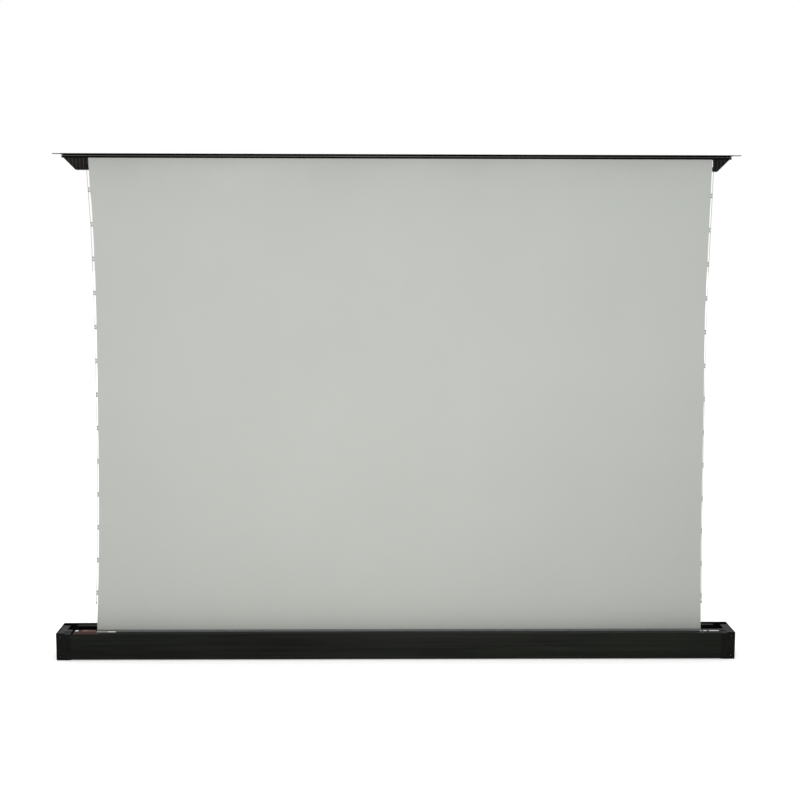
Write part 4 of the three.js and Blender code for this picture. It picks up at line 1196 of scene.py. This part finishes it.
def casting(y0, y1, bore, flipped):
    """A head round a pin and the plug that fits in the tube, along local x."""
    m, t = (y0 + y1) / 2, (y1 - y0) / 2 - 0.3
    outline = arc(0, 0, 18, 50, 310, 44) + [(20, -14.6), (24, -15), (29.7, -15), (29.7, 15), (24, 15), (20, 14.6)]
    bag = Bag(plate(outline, m - t, m + t, "y", [circle(0, 0, bore)], 1.1, 3))
    bag.add(lathe(soften([(bore, m - t - 0.0), (bore + 3.2, m - t - 0.0), (bore + 3.2, m - t + 0.35), (bore, m - t + 0.35), (bore, m - t)], 0.12), "y", (0, 0, 0), 48))
    bag.add(block(27, 66, m - 6.1, m + 6.1, -13.1, 13.1, 0.8, 2))
    if flipped:
        bag.verts = [(LINK - x, y, -z) for x, y, z in bag.verts]
    return bag


def placed(bag, x, z, angle):
    """A bag drawn along local x, turned in the X-Z plane and moved to (x, z)."""
    if not isinstance(bag, Bag):
        bag = Bag(bag)
    c, s = math.cos(angle), math.sin(angle)
    bag.verts = [(x + c * a - s * d, b, z + s * a + c * d) for a, b, d in bag.verts]
    return bag


def coil(length0, length1, r, wire, turns, y):
    path = []
    steps = int(turns * 14)
    for i in range(steps + 1):
        a = 2 * math.pi * turns * i / steps
        path.append((length0 + (length1 - length0) * i / steps, y + r * math.cos(a), r * math.sin(a)))
    return tube(path, wire, 6)


for side, word in SIDES:
    low_angle = ARM_ANGLE if side > 0 else math.pi - ARM_ANGLE
    high_angle = math.pi - ARM_ANGLE if side > 0 else ARM_ANGLE
    bx, ex = side * PIVOT_X, side * ELBOW_X
    y0, y1 = LOWER_Y
    u0, u1 = UPPER_Y
    stand_in(f"lower_arm_tube_{word}", placed(extrusion(y0, y1, 30, LINK - 30), bx, BASE_Z, low_angle), BLACK_ARM, 30)
    stand_in(f"upper_arm_tube_{word}", placed(extrusion(u0, u1, 30, LINK - 30), ex, ELBOW_Z, high_angle), BLACK_ARM, 30)
    stand_in(f"lower_root_casting_{word}", placed(casting(y0, y1, 6.4, False), bx, BASE_Z, low_angle), ZINC)
    stand_in(f"lower_elbow_casting_{word}", placed(casting(y0, y1, 7.3, True), bx, BASE_Z, low_angle), ZINC)
    stand_in(f"upper_elbow_casting_{word}", placed(casting(u0, u1, 7.4, False), ex, ELBOW_Z, high_angle), ZINC)
    stand_in(f"upper_end_casting_{word}", placed(casting(u0, u1, 6.5, True), ex, ELBOW_Z, high_angle), ZINC)
    stand_in(f"elbow_pin_{word}", lathe(soften([
        (0, u0 - 2), (6, u0 - 2), (7, u0 - 1), (7, u1 + 0.6), (12, u1 + 0.6), (12, y0 - 0.6), (7, y0 - 0.6), (7, y1 + 0.3),
        (11, y1 + 0.3), (11, y1 + 2), (9.5, y1 + 3), (4, y1 + 3), (3.4, y1 + 2.2), (0, y1 + 2.2)], 0.35), "y", (ex, 0, ELBOW_Z), 72), ZINC)
    mid = (y0 + y1) / 2
    spring = Bag(coil(90, 520, 4.5, 0.9, 150, mid))
    spring.add(lathe(soften(rod(2.2, 70, 92), 0.5), "x", (0, mid, 0), 24), 1)
    spring.add(lathe(soften([(0, 518), (2, 518), (2, 1025), (3.4, 1025), (3.4, 1031), (0, 1031)], 0.4), "x", (0, mid, 0), 24), 1)
    stand_in(f"lift_spring_{word}", placed(spring, bx, BASE_Z, low_angle), [SPRING, ZINC], 50)

    # foot bracket: a folded plate with two ears
    ear = [(bx + 24, 8), *arc(bx, BASE_Z, 17, 0, 180, 30), (bx - 24, 8)]
    foot = Bag(block(bx - 36, bx + 36, y0 - 3, y1 + 3, 6.2, 8.8, 0.6, 3))
    for a, b in ((y0 - 3, y0 - 0.5), (y1 + 0.5, y1 + 3)):
        foot.add(plate(ear, a, b, "y", [circle(bx, BASE_Z, 6.3)], 0.4, 2))
    stand_in(f"arm_base_bracket_{word}", foot, ZINC)
    stand_in(f"base_pivot_pin_{word}", lathe(soften([
        (0, y0 - 5), (5.4, y0 - 5), (6, y0 - 4.4), (6, y1 + 3.4), (9, y1 + 3.4), (9, y1 + 6), (4, y1 + 6), (3.4, y1 + 5.2), (0, y1 + 5.2)], 0.35),
        "y", (bx, 0, BASE_Z), 64), ZINC)

    # bracket under the rail
    cheek = [(bx - 22, 1992.6), *arc(bx, TOP_Z, 15, 180, 360, 30), (bx + 22, 1992.6)]
    roof = Bag(block(bx - 30, bx + 30, u0 - 3, u1 + 3, 1991.6, 1994.2, 0.5, 3))
    for a, b in ((u0 - 3, u0 - 0.5), (u1 + 0.5, u1 + 3)):
        roof.add(plate(cheek, a, b, "y", [circle(bx, TOP_Z, 6.3)], 0.4, 2))
    stand_in(f"top_pivot_bracket_{word}", roof, ZINC)
    stand_in(f"top_pivot_pin_{word}", lathe(soften([
        (0, u0 - 5.2), (3.4, u0 - 5.2), (4, u0 - 6), (9, u0 - 6), (9, u0 - 3.4), (6, u0 - 3.4), (6, u1 + 3.4), (5.4, u1 + 4), (0, u1 + 4)], 0.35),
        "y", (bx, 0, TOP_Z), 64), ZINC)

bag = Bag()
for side, _ in SIDES:
    for dx in (-30, 30):
        bag.add(screw((side * PIVOT_X + dx, 57, 8.8), (0, 0, 1), 3.4, 2.0, 1.6, 1.3))
piece("arm_base_screws", bag, SCREW, "housing", slot="zinc_steel")
bag = Bag()
for side, _ in SIDES:
    for dx in (-26, 26):
        bag.add(screw((side * PIVOT_X + dx, 33, 1991.6), (0, 0, -1), 2.6, 1.3, 1.3, 0.9))
piece("top_bracket_screws", bag, SCREW, "top_rail_and_lid", slot="zinc_steel")

# ------------------------------------------------------------------ top rail and lid

def rail_bands(bm):
    """Satin upper band on the rail's front wall, a painted highlight, over a dull black lower one, painted shade."""
    for z in (1992.4, 1996.4):
        bmesh.ops.bisect_plane(bm, geom=bm.verts[:] + bm.edges[:] + bm.faces[:], dist=1e-6,
                               plane_co=(0, 0, z * MM), plane_no=(0, 0, 1))
    for f in bm.faces:
        c = f.calc_center_median()
        if f.normal.y < -0.99 and c.y < -0.0149:
            # painted highlight on the band, painted shade on the rest of the front wall
            f.material_index = 1 if 1.9924 < c.z < 1.9964 else 2


refine("top_rail", [BLACK_RAIL, RAIL_PAINTED_HIGHLIGHT, RAIL_PAINTED_SHADE], 0.4, 3, edit=rail_bands)
def dull_front(bm):
    """The lid's cut front edge and its underside, left dull and near-black: painted shade."""
    for f in bm.faces:
        # painted shade: front and downward faces take the near-black finish
        f.material_index = 1 if f.normal.y < -0.9 or f.normal.z < -0.9 else 0


refine("lid_plate", [BLACK_LID, DULL_BLACK_AND_PAINTED_SHADE], 0.35, 2, edit=dull_front)


def ribs_and_pockets(bm):
    """Lighter, glossier faces on the rim and ribs, a painted highlight; dull ones at the bottom of the pockets."""
    for f in bm.faces:
        y = f.calc_center_median().y
        if f.normal.y < -0.99:
            # painted highlight on the front faces of the rim and ribs
            f.material_index = 1 if y < 0.003 else 2


for _, word in SIDES:
    refine(f"lid_tongue_{word}", TONGUE, 0.3, 2)
    refine(f"tension_bracket_{word}", [DARK_BRACKET, BRACKET_RIM, BRACKET_FLOOR], 0.35, 2, edit=ribs_and_pockets)
    refine(f"cable_adjuster_{word}", DARK_BRACKET, 0.35, 2)
stand_in("fabric_batten", lathe(soften(rod(2, -1201, 1229.5), 0.5), "x", (0, FACE_Y + 0.4, 1992.15), 40), ZINC)
bag = Bag()
for side, word in SIDES:
    x = cable_x(side, CABLE_TOP)
    bag.add(screw((x, -5.6, 1952), (0, -1, 0), 2.2, 1.0, 1.0, 0.7))
piece("adjuster_screws", bag, SCREW, "top_rail_and_lid", slot="zinc_steel")

# ------------------------------------------------------------------ own meshes for the soft pieces

for soft in [fabric, *strips, *cables, *rivets]:
    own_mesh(soft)

# ------------------------------------------------------------------ studio

floor_mesh = bpy.data.meshes.new("floor")
floor_mesh.from_pydata([(-60, -60, 0), (60, -60, 0), (60, 60, 0), (-60, 60, 0)], [], [(0, 1, 2, 3)])
floor_mesh.materials.append(pale_floor("pale_floor"))
floor = bpy.data.objects.new("floor", floor_mesh)
scene.collection.objects.link(floor)

world = bpy.data.worlds.new("studio")
scene.world = world
world.use_nodes = True
world.node_tree.nodes["Background"].inputs[0].default_value = (1, 1, 1, 1)
world.node_tree.nodes["Background"].inputs[1].default_value = 1.0


def lamp(name, kind, energy, at, towards, **settings):
    data = bpy.data.lights.new(name, kind)
    data.energy = energy
    for key, value in settings.items():
        setattr(data, key, value)
    made = bpy.data.objects.new(name, data)
    scene.collection.objects.link(made)
    made.location = at
    made.rotation_mode = "QUATERNION"
    made.rotation_quaternion = (Vector(towards) - Vector(at)).to_track_quat("-Z", "Y")
    return made


lamp("sun", "SUN", 0.35, (0, -1, 6), (0, 0, 0), angle=math.radians(60))
lamp("key", "SPOT", 584, (-0.085, -5.9, 1.71), (-0.16, 0, 1.82), spot_size=math.radians(52), spot_blend=1.0,
     shadow_soft_size=0.4)
lamp("fill", "AREA", 16, (-0.28, -2.6, 0.2), (-0.12, 0, 1.25), shape="RECTANGLE", size=1.1, size_y=0.3,
     color=(1.0, 0.81, 0.85))

scene.view_settings.view_transform = "Standard"
scene.view_settings.look = "None"
scene.view_settings.exposure = 0
scene.view_settings.gamma = 1

import json
